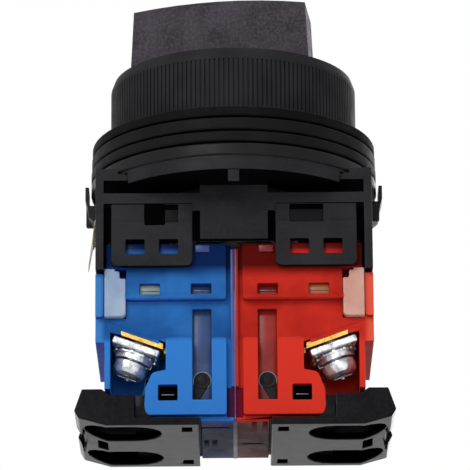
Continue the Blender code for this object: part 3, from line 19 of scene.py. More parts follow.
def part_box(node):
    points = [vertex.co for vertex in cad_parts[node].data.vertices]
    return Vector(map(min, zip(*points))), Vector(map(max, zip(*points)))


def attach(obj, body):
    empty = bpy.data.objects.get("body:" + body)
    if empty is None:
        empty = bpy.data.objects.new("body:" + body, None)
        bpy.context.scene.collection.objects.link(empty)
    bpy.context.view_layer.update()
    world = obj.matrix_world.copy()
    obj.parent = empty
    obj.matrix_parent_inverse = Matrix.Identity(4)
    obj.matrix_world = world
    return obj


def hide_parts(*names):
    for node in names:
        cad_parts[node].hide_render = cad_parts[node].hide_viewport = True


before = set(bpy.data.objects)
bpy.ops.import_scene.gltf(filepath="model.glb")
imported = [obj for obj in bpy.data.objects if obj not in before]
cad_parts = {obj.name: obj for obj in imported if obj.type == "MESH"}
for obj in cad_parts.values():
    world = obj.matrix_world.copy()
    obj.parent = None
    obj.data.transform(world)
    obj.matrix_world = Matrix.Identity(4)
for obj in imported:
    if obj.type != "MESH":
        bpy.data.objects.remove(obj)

LOG = logging.getLogger("selector_switch")
MM = 0.001
# Corners closer than this are one corner
MERGE = 1e-6
# Edges sharper than this are rounded, and shaded crisp
SHARP = math.radians(28)
# Flats that meet at less than this are one flat
FLAT = math.radians(0.6)
# A neighbour whose angle to an edge has a cosine below this limits its round, to this share of its length
STEEP = 0.8
ROUND_SHARE = 0.42
# A flat with more corners and more area than this is torn if its triangles miss this share of it
CORNERS = 6
LARGE = 1.0 * MM * MM
TORN = 0.01
# The ranges of a noise that are spread over a surface: its middle, more of it, and its upper spots
MIDDLE = (0.35, 0.65)
WIDE = (0.3, 0.7)
SPOTS = (0.42, 0.72)
# How far down a face's normal points where its painted underside shade begins, and where that shade is full
DOWNWARD = (-0.6, -0.9)

# Three measures or a place, and two measures or a range
Point = tuple[float, float, float]
Span = tuple[float, float]


class Slot(Enum):
    """The record's material slots."""

    HANDLE = "handle"
    BLACK_GLOSS = "black_gloss"
    BLACK = "black"
    RUBBER = "rubber"
    BLUE = "blue"
    RED = "red"
    MILKY = "milky"
    WHITE = "white"
    ZINC = "zinc"
    BRASS = "brass"
    SILVER = "silver"
    LABEL = "label"


class Face(Enum):
    """Which of a block's two like faces a piece is on, as its direction along the block's depth."""

    FRONT = "front"
    REAR = "rear"

    @property
    def toward(self) -> int:
        """The sign of the face's direction along Y."""
        return -1 if self is Face.FRONT else 1


class Part(Enum):
    """What a small piece on a block is made of."""

    STRIP = "strip"
    LEAF = "leaf"
    KEY = "key"
    RAIL = "rail"
    SHELL = "shell"
    DARK = "dark"
    METAL = "metal"
    GUARD = "guard"
    RIM = "rim"


def linear(code: str) -> tuple[float, float, float, float]:
    """Turns a written colour into the shader's own linear values.

    Args:
        code: six hexadecimal digits, as on a colour chart.

    Returns:
        Linear red, green, blue and an alpha of one.
    """
    parts = [int(code[i : i + 2], 16) / 255 for i in (0, 2, 4)]
    values = [p / 12.92 if p <= 0.04045 else ((p + 0.055) / 1.055) ** 2.4 for p in parts]
    return (values[0], values[1], values[2], 1.0)


@dataclass(frozen=True)
class Band:
    """A change of colour along one axis, from none at one place to all at another.

    Attributes:
        axis: X, Y or Z.
        start: where it begins, in millimetres.
        end: where it is full, in millimetres; it may be the lower of the two.
        shade: the colour that it leads to.
    """

    axis: str
    start: float
    end: float
    shade: str


class Sheet:
    """A material's node tree, with short calls that add and join its nodes."""

    def __init__(self, name: str) -> None:
        """Starts an empty tree with a Principled shader on the surface.

        Args:
            name: the material's name.
        """
        self.material = bpy.data.materials.new(name)
        self.material.use_nodes = True
        self.tree = self.material.node_tree
        self.tree.nodes.clear()
        self.output = self.add("ShaderNodeOutputMaterial")
        self.shader = self.add("ShaderNodeBsdfPrincipled")
        self.join(self.shader, "BSDF", self.output, "Surface")
        self.place = self.add("ShaderNodeTexCoord")

    def add(self, kind: str, **values: object) -> bpy.types.Node:
        """Adds a node.

        Args:
            kind: the node's type.
            **values: its own settings, by attribute name.

        Returns:
            The new node.
        """
        node = self.tree.nodes.new(kind)
        for key, value in values.items():
            setattr(node, key, value)
        return node

    def join(
        self, source: bpy.types.Node, output: str | int, target: bpy.types.Node, socket: str | int
    ) -> None:
        """Joins one node's output to another's input, each by its name or its number."""
        self.tree.links.new(source.outputs[output], target.inputs[socket])

    def set(self, **values: object) -> None:
        """Sets the shader's own sockets, with an underscore for each space in a name."""
        for key, value in values.items():
            self.shader.inputs[key.replace("_", " ")].default_value = value

    def noise(self, size: float, detail: float = 2.0, stretch: Sequence[float] = (1, 1, 1)) -> bpy.types.Node:
        """Adds a noise on object coordinates.

        Args:
            size: the size of its spots in metres.
            detail: how many finer layers it has.
            stretch: how much denser it is along each axis.

        Returns:
            The noise node.
        """
        mapping = self.add("ShaderNodeMapping")
        mapping.inputs["Scale"].default_value = stretch
        self.join(self.place, "Object", mapping, "Vector")
        noise = self.add("ShaderNodeTexNoise")
        noise.inputs["Scale"].default_value = 1 / size
        noise.inputs["Detail"].default_value = detail
        self.join(mapping, "Vector", noise, "Vector")
        return noise

    def spread(self, source: bpy.types.Node, start: Span, to: Span) -> bpy.types.Node:
        """Spreads a range of a noise over new values.

        Args:
            source: the noise node.
            start: the noise values that give the first and the second new value.
            to: the two new values.

        Returns:
            The mapping node, with its output named Result.
        """
        return self.ranged(source, "Fac", start, to)

    def ranged(
        self, source: bpy.types.Node, output: str, start: Span, to: Span = (0.0, 1.0)
    ) -> bpy.types.Node:
        """Maps a node's output from one range to another.

        Args:
            source: the node.
            output: its output's name.
            start: the values that give the first and the second new value.
            to: the two new values.

        Returns:
            The mapping node, with its output named Result.
        """
        mapped = self.add("ShaderNodeMapRange")
        for words, values in (("From Min", "From Max"), start), (("To Min", "To Max"), to):
            for word, value in zip(words, values):
                mapped.inputs[word].default_value = value
        self.join(source, output, mapped, "Value")
        return mapped

    def mix(self, factor: bpy.types.Node, output: str, first: object, second: object) -> bpy.types.Node:
        """Mixes two colours.

        Args:
            factor: the node whose output says how much of the second shows.
            output: that output's name.
            first: a colour, or another mixing node.
            second: the same for the other colour.

        Returns:
            The mixing node, with its colour as output number 2.
        """
        mixing = self.add("ShaderNodeMix", data_type="RGBA")
        self.join(factor, output, mixing, 0)
        for index, colour in ((6, first), (7, second)):
            if isinstance(colour, bpy.types.Node):
                self.join(colour, 2, mixing, index)
            else:
                mixing.inputs[index].default_value = colour
        return mixing

    def along(self, band: Band) -> bpy.types.Node:
        """Measures a band's share at each place.

        Args:
            band: the band.

        Returns:
            The node that gives the share, with its output named Result.
        """
        axes = self.add("ShaderNodeSeparateXYZ")
        self.join(self.place, "Object", axes, "Vector")
        return self.ranged(axes, band.axis, (band.start * MM, band.end * MM))

    def painted_underside_share(self) -> bpy.types.Node:
        """Measures how far each face looks down, as the share of a finish's painted underside shade.

        Returns:
            The node that gives the share, with its output named Result.
        """
        side = self.add("ShaderNodeNewGeometry")
        axes = self.add("ShaderNodeSeparateXYZ")
        self.join(side, "True Normal", axes, "Vector")
        return self.ranged(axes, "Z", DOWNWARD)

    def colour(self, mixing: bpy.types.Node) -> None:
        """Gives the shader the colour of a mixing node."""
        self.join(mixing, 2, self.shader, "Base Color")

    def relief(self, height: bpy.types.Node, depth: float) -> None:
        """Adds a fine relief to the surface.

        Args:
            height: the noise node that gives the height.
            depth: the height of a value of one, in metres.
        """
        bump = self.add("ShaderNodeBump")
        bump.inputs["Distance"].default_value = depth
        bump.inputs["Strength"].default_value = 1.0
        self.join(height, "Fac", bump, "Height")
        self.join(bump, "Normal", self.shader, "Normal")


@dataclass(frozen=True)
class Plastic:
    """A moulded plastic.

    Attributes:
        name: the finish in a maker's words.
        light: its lighter colour.
        dark: the colour of its darker clouds.
        roughness: the lowest and highest roughness.
        cloud: the size of its clouds.
        wear: the size of its smoother and rougher places.
        grain: the size of its grain.
        relief: the depth of its grain.
        scuff: the colour of rubbed spots, or nothing.
        spot: the size of those spots.
        rubbed: the part of the surface that is rubbed.
        depth: how far light goes into it, in metres.
        soft: how much of the light goes into it, where it has a depth.
        shine: how strongly it mirrors, as the shader's specular level.
        bands: where its colour changes with height or width; some of them are painted shade.
        under: the colour of the painted shade on its faces that look down, or nothing.
    """

    name: str
    light: str
    dark: str
    roughness: Span = (0.35, 0.5)
    cloud: float = 6 * MM
    wear: float = 2.5 * MM
    grain: float = 0.25 * MM
    relief: float = 0.01 * MM
    scuff: str = ""
    spot: float = 0.45 * MM
    rubbed: float = 0.0
    depth: float = 0.0
    soft: float = 0.25
    shine: float = 0.25
    bands: tuple[Band, ...] = ()
    under: str = ""

    def material(self) -> bpy.types.Material:
        """Builds the finish with clouds, grain, rubbed spots, its bands and painted shade on faces that look
        down.

        Returns:
            The material.
        """
        sheet = Sheet(self.name)
        clouds = sheet.spread(sheet.noise(self.cloud, 3.0), MIDDLE, (0, 1))
        mixed = sheet.mix(clouds, "Result", linear(self.dark), linear(self.light))
        if self.scuff:
            worn = sheet.spread(sheet.noise(self.spot, 8.0), SPOTS, (0, self.rubbed))
            mixed = sheet.mix(worn, "Result", mixed, linear(self.scuff))
        # Colour bands along an axis; in some finishes they are painted shade
        for band in self.bands:
            mixed = sheet.mix(sheet.along(band), "Result", mixed, linear(band.shade))
        # Painted shade: faces that look down turn towards the darker under colour
        if self.under:
            mixed = sheet.mix(sheet.painted_underside_share(), "Result", mixed, linear(self.under))
        sheet.colour(mixed)
        wear = sheet.spread(sheet.noise(self.wear, 4.0), WIDE, self.roughness)
        sheet.join(wear, "Result", sheet.shader, "Roughness")
        sheet.relief(sheet.noise(self.grain, 2.0), self.relief)
        sheet.set(Specular_IOR_Level=self.shine)
        if self.depth:
            sheet.set(Subsurface_Weight=self.soft, Subsurface_Scale=self.depth)
            sheet.set(Subsurface_Radius=(1.0, 1.0, 1.0))
        return sheet.material


@dataclass(frozen=True)
class Metal:
    """A bare or plated metal.

    Attributes:
        name: the finish in a maker's words.
        light: its lighter colour.
        dark: the colour of its duller clouds.
        roughness: the lowest and highest roughness.
        brushed: how much denser its fine lines are along each axis.
        cloud: the size of its clouds.
        wear: the size of its smoother and rougher places.
        grain: the size of its fine lines.
        relief: the depth of its fine lines.
        bare: how much of it is bare metal and not dull.
    """

    name: str
    light: str
    dark: str
    roughness: Span = (0.15, 0.35)
    brushed: Point = (1, 1, 1)
    cloud: float = 1.2 * MM
    wear: float = 0.7 * MM
    grain: float = 0.3 * MM
    relief: float = 0.01 * MM
    bare: float = 1.0

    def material(self) -> bpy.types.Material:
        """Builds the finish with dull clouds and fine lines.

        Returns:
            The material.
        """
        sheet = Sheet(self.name)
        clouds = sheet.spread(sheet.noise(self.cloud, 4.0), MIDDLE, (0, 1))
        sheet.colour(sheet.mix(clouds, "Result", linear(self.dark), linear(self.light)))
        wear = sheet.spread(sheet.noise(self.wear, 3.0), WIDE, self.roughness)
        sheet.join(wear, "Result", sheet.shader, "Roughness")
        sheet.relief(sheet.noise(self.grain, 3.0, self.brushed), self.relief)
        sheet.set(Metallic=self.bare)
        return sheet.material


HANDLE_BLACK = Plastic(
    "rubbed purple-black handle plastic", "403b42", "322f34", (0.45, 0.65), cloud=4 * MM, scuff="5d5760",
    rubbed=0.42, relief=0.02 * MM, shine=0.05,
)
RING_BLACK = Plastic("plain black ring nut", "29292b", "222224", shine=0.02)
# The under colour is painted shade on the adapter's faces that look down, such as the lip's underside
ADAPTER_BLACK = Plastic(
    "satin black adapter moulding", "232326", "1b1b1d", scuff="3c3c40", rubbed=0.12, shine=0.07,
    under="08080a",
)
GLOSS_BLACK = Plastic("gloss black moulding", "1a1a1b", "131314", (0.3, 0.45), shine=0.1)
SATIN_BLACK = Plastic(
    "satin black moulding", "1e1e20", "171719", scuff="3c3c40", rubbed=0.1, shine=0.1
)
DISC_BLACK = Plastic("plain black disc", "171718", "121213", (0.4, 0.55), shine=0.04)
POCKET_BLACK = Plastic("shaded black pocket", "151517", "0f0f11", (0.45, 0.6), shine=0.06)
DULL_RUBBER = Plastic("dull black rubber", "121213", "0d0d0e", (0.5, 0.7), relief=0.03 * MM, shine=0.03)
DEEP_BLACK = Plastic("unlit black", "030304", "010102", (0.6, 0.8), shine=0.01)
COVER_BLACK = Plastic(
    "smooth black cover", "18181a", "111113", (0.12, 0.26), scuff="46464c", rubbed=0.08, shine=0.05
)
# Painted shadow: the Z band from 24 to 26.2 mm darkens the part that lies in the adapter ears' shadow, and
# the under colour is painted shade on faces that look down; the other two bands make the lower plate and the
# outer edge lighter
BLOCK_BLUE = Plastic(
    "clear blue block plastic", "2b68ac", "1d5290", (0.22, 0.38), depth=1.2 * MM, relief=0.015 * MM,
    shine=0.012,
    bands=(
        Band("Z", 14.6, 13.8, "3378c4"), Band("X", -20.5, -21.3, "3a78b8"), Band("Z", 24.0, 26.2, "09204c"),
    ),
    under="21409a",
)
BLOCK_RED = Plastic(
    "clear red block plastic", "c22e22", "a8231a", (0.22, 0.38), depth=1.2 * MM, relief=0.015 * MM,
    shine=0.012,
    bands=(
        Band("Z", 14.6, 13.8, "cc3426"), Band("X", 20.5, 21.3, "d4523e"), Band("Z", 24.0, 26.2, "540c08"),
    ),
    under="96201f",
)
# Painted light: the block's colour as lit, behind the adapter's lower windows; the Z band at the top is
# painted shade under each window's upper edge
PATCH_BLUE = Plastic(
    "lit blue behind a window", "2460b0", "1b509c", (0.3, 0.45), shine=0.05,
    bands=(Band("Z", 28.3, 29.0, "0a1a40"),),
)
PATCH_RED = Plastic(
    "lit red behind a window", "d62a22", "b81c18", (0.3, 0.45), shine=0.05,
    bands=(Band("Z", 28.3, 29.0, "5a0808"),),
)
# One milky white clip plastic, painted bluish beside the blue block and pinkish beside the red one, for the
# coloured light that the blocks give it
MILKY_BLUE = Plastic("milky clip over blue", "9aaabf", "8196b4", (0.2, 0.35), depth=1.5 * MM, shine=0.3)
MILKY_RED = Plastic("milky clip over red", "c99c8e", "b98475", (0.2, 0.35), depth=1.5 * MM, shine=0.3)
TINTED_BLUE = Plastic(
    "tinted blue window strip", "3a5080", "30446c", (0.2, 0.3), bands=(Band("Z", 9, 3, "1c2c58"),)
)
TINTED_RED = Plastic(
    "tinted red window strip", "a02a22", "8a201a", (0.2, 0.3), bands=(Band("Z", 9, 3, "4a1414"),)
)
LEAF_BLUE = Plastic("pale leaf behind blue", "8f9a92", "7c8a86", (0.25, 0.4))
LEAF_RED = Plastic("pale leaf behind red", "b47048", "a05c3c", (0.25, 0.4))
PALE_RIM = Plastic("pale pointer rim", "98a2b0", "828c9c", (0.25, 0.4))
VIOLET_KEY = Plastic(
    "dark violet key", "1c2350", "161a40", (0.3, 0.5), shine=0.01, bands=(Band("X", -1.2, 0.2, "5a1030"),)
)
CRIMSON_KEY = Plastic(
    "dark crimson key", "7a1224", "68101f", (0.3, 0.5), shine=0.01, bands=(Band("X", 1.0, 0.0, "3c1038"),)
)
# The Z band from 24 to 27 mm is painted shade, as on the block under the adapter's ears
BLUE_RAIL = Plastic(
    "violet-blue rail", "34509c", "2c458c", (0.25, 0.4), bands=(Band("Z", 24, 27, "27386e"),)
)
RED_RAIL = Plastic("dark red rail", "a01c20", "8c161a", (0.25, 0.4), bands=(Band("Z", 24, 27, "6a1014"),))
PLUNGER_WHITE = Plastic("white plunger plastic", "dcdcd4", "c9c9c0", (0.3, 0.45), depth=1.0 * MM)
PAPER = Plastic(
    "yellowed paper label", "a39b80", "8c846c", (0.6, 0.8), cloud=3 * MM, relief=0.03 * MM,
    depth=0.8 * MM, soft=0.9,
)
SEAM_VIOLET = Plastic("dark violet seam", "3a2050", "2e1a44", (0.3, 0.45))
ZINC = Metal("bright zinc plating", "fafbfc", "9ba1a8", (0.06, 0.22), relief=0.06 * MM, bare=0.72)
DULL_STEEL = Metal("dull steel leaf", "77797c", "54575a", (0.35, 0.5), bare=0.8)
BRASS = Metal("raw brass strip", "e0b465", "b98a3c", (0.18, 0.36), (1, 1, 8))
SPRING_STEEL = Metal("spring steel", "cfd2d6", "8e9298", (0.2, 0.4))


def only(piece: bpy.types.Object) -> None:
    """Selects one object alone and makes it active.

    Args:
        piece: the object.
    """
    bpy.ops.object.select_all(action="DESELECT")
    piece.select_set(True)
    bpy.context.view_layer.objects.active = piece


@contextmanager
def editing(kind: str = "") -> Iterator[None]:
    """Holds the active piece in edit mode with all of it selected, and then goes back to object mode.

    Args:
        kind: VERT, EDGE or FACE, where the selection has to be of that kind.

    Yields:
        Nothing; the edits are made meanwhile.
    """
    bpy.ops.object.mode_set(mode="EDIT")
    if kind:
        bpy.ops.mesh.select_mode(type=kind)
    bpy.ops.mesh.select_all(action="SELECT")
    yield
    bpy.ops.object.mode_set(mode="OBJECT")


def pull_ring(scale: float, rise: float, level: float) -> None:
    """Draws the selected ring of edges out into one more band round the Z axis.

    Args:
        scale: how much wider the new ring is.
        rise: how much higher it is, in metres.
        level: its height in metres.
    """
    bpy.ops.mesh.extrude_edges_move(TRANSFORM_OT_translate={"value": (0.0, 0.0, rise)})
    bpy.ops.transform.resize(value=(scale, scale, 1.0), center_override=(0.0, 0.0, level))


def pick(piece: bpy.types.Object, test: Callable[[bmesh.types.BMFace], bool]) -> int:
    """Selects the faces of a piece in edit mode that pass a test, and no others.

    Args:
        piece: the object, which is active and in edit mode.
        test: says for a face whether it is wanted.

    Returns:
        How many faces are selected.
    """
    mesh = bmesh.from_edit_mesh(piece.data)
    for face in mesh.faces:
        face.select_set(False)
    chosen = [face for face in mesh.faces if test(face)]
    for face in chosen:
        face.select_set(True)
    mesh.select_flush_mode()
    bmesh.update_edit_mesh(piece.data)
    return len(chosen)


def settle(piece: bpy.types.Object, name: str) -> bpy.types.Object:
    """Names a piece and applies its place, so that its object is at the origin.

    Args:
        piece: the object.
        name: its new name.

    Returns:
        The same object.
    """
    only(piece)
    piece.name = name
    piece.data.name = name
    bpy.ops.object.transform_apply(location=True, rotation=True, scale=True)
    return piece


def fresh(name: str, add: Callable[..., object], **values: object) -> bpy.types.Object:
    """Adds a simple body with nothing else selected.

    Args:
        name: its name.
        add: Blender's own call for it.
        **values: what that call is given.

    Returns:
        The new piece, with its object at the origin.
    """
    bpy.ops.object.select_all(action="DESELECT")
    add(**values)
    return settle(bpy.context.object, name)


def mirrored(values: Sequence[float], sign: int) -> list[float]:
    """Turns outward distances to one side, the lowest first."""
    return sorted(sign * value for value in values)


def recalculate(piece: bpy.types.Object) -> None:
    """Merges a piece's doubles and turns all its faces outwards.

    Args:
        piece: the object.
    """
    only(piece)
    with editing():
        bpy.ops.mesh.remove_doubles(threshold=MERGE)
        bpy.ops.mesh.normals_make_consistent(inside=False)


def smooth(piece: bpy.types.Object, angle: float = SHARP) -> None:
    """Shades a piece smooth, apart from edges sharper than an angle."""
    only(piece)
    bpy.ops.object.shade_smooth_by_angle(angle=angle)


def even(piece: bpy.types.Object) -> None:
    """Gives a piece's large flat faces the say over its shading.

    Args:
        piece: the object.
    """
    weighted = piece.modifiers.new("even shading", "WEIGHTED_NORMAL")
    weighted.keep_sharp = True
    weighted.weight = 100
    only(piece)
    bpy.ops.object.modifier_apply(modifier=weighted.name)


def room_beside(edge: bmesh.types.BMEdge) -> float:
    """Measures how far an edge may be rounded before it meets the next one.

    Args:
        edge: the edge, with a face on each side.

    Returns:
        The shortest neighbour that leaves the edge at a steep angle.
    """
    room = math.inf
    along = (edge.verts[1].co - edge.verts[0].co).normalized()
    for loop in edge.link_loops:
        for other in (loop.link_loop_prev.edge, loop.link_loop_next.edge):
            across = other.verts[1].co - other.verts[0].co
            if across.length > MERGE and abs(along.dot(across.normalized())) < STEEP:
                room = min(room, across.length)
    return room


def soften(piece: bpy.types.Object, width: float, segments: int = 2, angle: float = SHARP) -> None:
    """Rounds a piece's sharp edges, less where there is little room.

    Args:
        piece: the object, already merged.
        width: the width of a round in metres.
        segments: how many faces a round has.
        angle: edges sharper than this are rounded.
    """
    mesh = bmesh.new()
    mesh.from_mesh(piece.data)
    weights = mesh.edges.layers.float.get("bevel_weight_edge")
    weights = weights or mesh.edges.layers.float.new("bevel_weight_edge")
    for edge in mesh.edges:
        if len(edge.link_faces) == 2 and edge.calc_face_angle(0.0) > angle:
            edge[weights] = min(1.0, ROUND_SHARE * room_beside(edge) / width)
    mesh.to_mesh(piece.data)
    mesh.free()
    rounding = piece.modifiers.new("rounded edges", "BEVEL")
    rounding.width = width
    rounding.segments = segments
    rounding.limit_method = "WEIGHT"
    rounding.use_clamp_overlap = False
    rounding.miter_outer = "MITER_ARC"
    only(piece)
    bpy.ops.object.modifier_apply(modifier=rounding.name)


def keep_within(piece: bpy.types.Object, low: Sequence[float], high: Sequence[float]) -> None:
    """Brings a piece's stray corners back to the box that it belongs in.

    Args:
        piece: the object.
        low: the box's lowest corner in metres.
        high: its highest corner in metres.
    """
    for vertex in piece.data.vertices:
        vertex.co = [min(max(place, least), most) for place, least, most in zip(vertex.co, low, high)]


def torn_faces(piece: bpy.types.Object) -> dict[int, float]:
    """Finds the large many-sided flats that their own triangles don't cover once.

    Args:
        piece: the object.

    Returns:
        The area that each torn face has too much or too little, by its number.
    """
    mesh = piece.data
    mesh.calc_loop_triangles()
    covered = [0.0] * len(mesh.polygons)
    for triangle in mesh.loop_triangles:
        covered[triangle.polygon_index] += triangle.area
    large = [face for face in mesh.polygons if len(face.vertices) > CORNERS and face.area > LARGE]
    errors = {face.index: abs(covered[face.index] - face.area) for face in large}
    return {face.index: errors[face.index] for face in large if errors[face.index] > TORN * face.area}


def mend(piece: bpy.types.Object) -> None:
    """Fills a piece's torn flats anew, round the windows in them, where that covers them better.

    Args:
        piece: the object.
    """
    torn = torn_faces(piece)
    if not torn:
        return
    mesh = bmesh.new()
    mesh.from_mesh(piece.data)
    mesh.faces.ensure_lookup_table()
    for face, error in [(mesh.faces[number], error) for number, error in torn.items()]:
        corners, edges = list(face.verts), list(face.edges)
        normal, area = face.normal.copy(), face.calc_area()
        mesh.faces.remove(face)
        made = bmesh.ops.triangle_fill(
            mesh, use_beauty=True, use_dissolve=False, edges=edges, normal=normal
        )["geom"]
        flats = [part for part in made if isinstance(part, bmesh.types.BMFace)]
        if abs(sum(flat.calc_area() for flat in flats) - area) > error:
            inner = [part for part in made if isinstance(part, bmesh.types.BMEdge) and part not in edges]
            for part in flats:
                mesh.faces.remove(part)
            for part in inner:
                mesh.edges.remove(part)
            mesh.faces.new(corners)
    mesh.to_mesh(piece.data)
    mesh.free()
    LOG.info("%s: %d torn flats filled, %d left", piece.name, len(torn), len(torn_faces(piece)))


def dress(piece: bpy.types.Object, finish: bpy.types.Material) -> None:
    """Gives the whole piece one finish."""
    piece.data.materials.clear()
    piece.data.materials.append(finish)


def from_node(
    node: str, name: str, width: float, segments: int = 2,
    shape: Callable[[bpy.types.Object], None] | None = None,
) -> bpy.types.Object:
    """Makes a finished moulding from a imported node: merged, its flats joined and its edges rounded.

    Args:
        node: the node's name.
        name: the new piece's name.
        width: the width of its rounded edges in metres.
        segments: how many faces a round has.
        shape: changes the merged mesh before its edges are rounded; without it the piece stays in its
            node's box.

    Returns:
        The new piece, which stands for the node.
    """
    piece = bpy.data.objects.new(name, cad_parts[node].data.copy())
    bpy.context.scene.collection.objects.link(piece)
    only(piece)
    with editing():
        bpy.ops.mesh.remove_doubles(threshold=MERGE)
        bpy.ops.mesh.dissolve_limited(angle_limit=FLAT)
    if shape:
        shape(piece)
    if width:
        soften(piece, width, segments)
    if not shape:
        keep_within(piece, *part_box(node))
    mend(piece)
    smooth(piece)
    even(piece)
    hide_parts(node)
    return piece


def block(name: str, low: Sequence[float], high: Sequence[float], rounding: float) -> bpy.types.Object:
    """Models a small moulded block with rounded edges.

    Args:
        name: its name.
        low: its lowest corner in millimetres.
        high: its highest corner in millimetres.
        rounding: the width of its rounded edges in millimetres.

    Returns:
        The block.
    """
    middle = [(a + b) / 2 * MM for a, b in zip(low, high)]
    size = [abs(b - a) * MM for a, b in zip(low, high)]
    piece = fresh(name, bpy.ops.mesh.primitive_cube_add, size=1.0, location=middle, scale=size)
    with editing():
        bpy.ops.mesh.bevel(offset=rounding * MM, segments=2, affect="EDGES")
    smooth(piece)
    return piece


class Finishes:
    """The switch's materials, each built at its first use and shared by its pieces."""

    def __init__(self) -> None:
        """Starts with no material."""
        self.made: dict[str, bpy.types.Material] = {}

    def of(self, kind: Plastic | Metal) -> bpy.types.Material:
        """Gives the material of a finish.

        Args:
            kind: the finish.

        Returns:
            Its one material.
        """
        if kind.name not in self.made:
            self.made[kind.name] = kind.material()
        return self.made[kind.name]


FINISHES = Finishes()


def install(piece: bpy.types.Object, body: str, finish: Plastic | Metal) -> bpy.types.Object:
    """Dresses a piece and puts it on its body.

    Args:
        piece: the object, in place.
        body: the body that it moves with.
        finish: the finish.

    Returns:
        The same piece.
    """
    dress(piece, FINISHES.of(finish))
    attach(piece, body)
    LOG.info("%s rides on %s, %d faces", piece.name, body, len(piece.data.polygons))
    return piece


@dataclass
class Handle:
    """The lever handle with its shaft and cam, and the width of each one's rounded edges."""

    edge: float = 0.35 * MM
    shaft_edge: float = 0.15 * MM
    cam_edge: float = 0.1 * MM
    body: str = "handle"

    def build(self) -> None:
        """Builds the lever and dresses what it turns."""
        lever = from_node("handle", "lever_handle", self.edge, 3)
        install(lever, self.body, HANDLE_BLACK)
        install(from_node("selector_shaft", "shaft", self.shaft_edge), self.body, SATIN_BLACK)
        install(from_node("selector_cam", "cam", self.cam_edge), self.body, PLUNGER_WHITE)


@dataclass
class KnurledRing:
    """The ring nut, turned from its profile, with a fine knurl of narrow grooves.

    Attributes:
        grooves: how many grooves go round.
        share: a groove is one part in this many of the pitch.
        depth: how deep a groove is.
        low: where the grooves begin, in millimetres.
        high: where they end.
        skin: faces further out than this are on the ring's rim.
        profile: radius and level of each corner, in millimetres, from the opening's lip outwards.
    """

    grooves: int = 164
    share: int = 3
    depth: float = 0.26 * MM
    low: float = 50.7
    high: float = 58.7
    skin: float = 19.9
    profile: tuple[Span, ...] = (
        (17.7, 60.55), (17.85, 60.7), (19.3, 60.7), (19.5, 60.6), (19.96, 59.35), (20.0, 59.1), (20.0, 58.7),
        (20.0, 50.7), (20.0, 50.4), (19.6, 49.95), (15.3, 49.95), (15.3, 55.25), (17.7, 55.25),
    )

    def turn(self) -> bpy.types.Object:
        """Draws the profile round the axis, one ring of edges at a time.

        Returns:
            The closed ring, still without its knurl.
        """
        radius, level = self.profile[0]
        ring = fresh(
            "knurled_ring", bpy.ops.mesh.primitive_circle_add, vertices=self.grooves * self.share,
            radius=radius * MM, fill_type="NOTHING", location=(0.0, 0.0, level * MM),
        )
        with editing():
            for next_radius, next_level in self.profile[1:] + self.profile[:1]:
                pull_ring(next_radius / radius, (next_level - level) * MM, next_level * MM)
                radius, level = next_radius, next_level
        recalculate(ring)
        return ring

    def in_groove(self, face: bmesh.types.BMFace) -> bool:
        """Says whether a face of the turned ring lies where a groove goes.

        Args:
            face: the face.

        Returns:
            Whether the face is cut in.
        """
        middle = face.calc_center_median()
        if not self.low < middle.z / MM < self.high or math.hypot(middle.x, middle.y) < self.skin * MM:
            return False
        step = math.tau / (self.grooves * self.share)
        return int(math.atan2(middle.y, middle.x) % math.tau / step) % self.share == 0

    def build(self) -> None:
        """Cuts the knurl into the turned ring and dresses it."""
        ring = self.turn()
        with editing("FACE"):
            pick(ring, self.in_groove)
            bpy.ops.mesh.extrude_region_shrink_fatten(TRANSFORM_OT_shrink_fatten={"value": -self.depth})
        smooth(ring)
        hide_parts("bezel_ring")
        install(ring, "housing", RING_BLACK)


@dataclass
class PanelStack:
    """The ring nut, the gasket, the two spacers and the operator body, all round one axis."""

    edge: float = 0.12 * MM
    body: str = "housing"
    parts: tuple[tuple[str, str, Slot, Plastic], ...] = (
        ("panel_gasket", "gasket", Slot.RUBBER, DULL_RUBBER),
        ("spacer_upper", "upper_spacer", Slot.BLACK, DISC_BLACK),
        ("spacer_lower", "lower_spacer", Slot.BLACK, DISC_BLACK),
        ("operator_body", "operator", Slot.BLACK_GLOSS, GLOSS_BLACK),
    )

    def build(self) -> None:
        """Builds the ring and each disc."""
        KnurledRing().build()
        for node, name, slot, finish in self.parts:
            install(from_node(node, name, self.edge), self.body, finish)


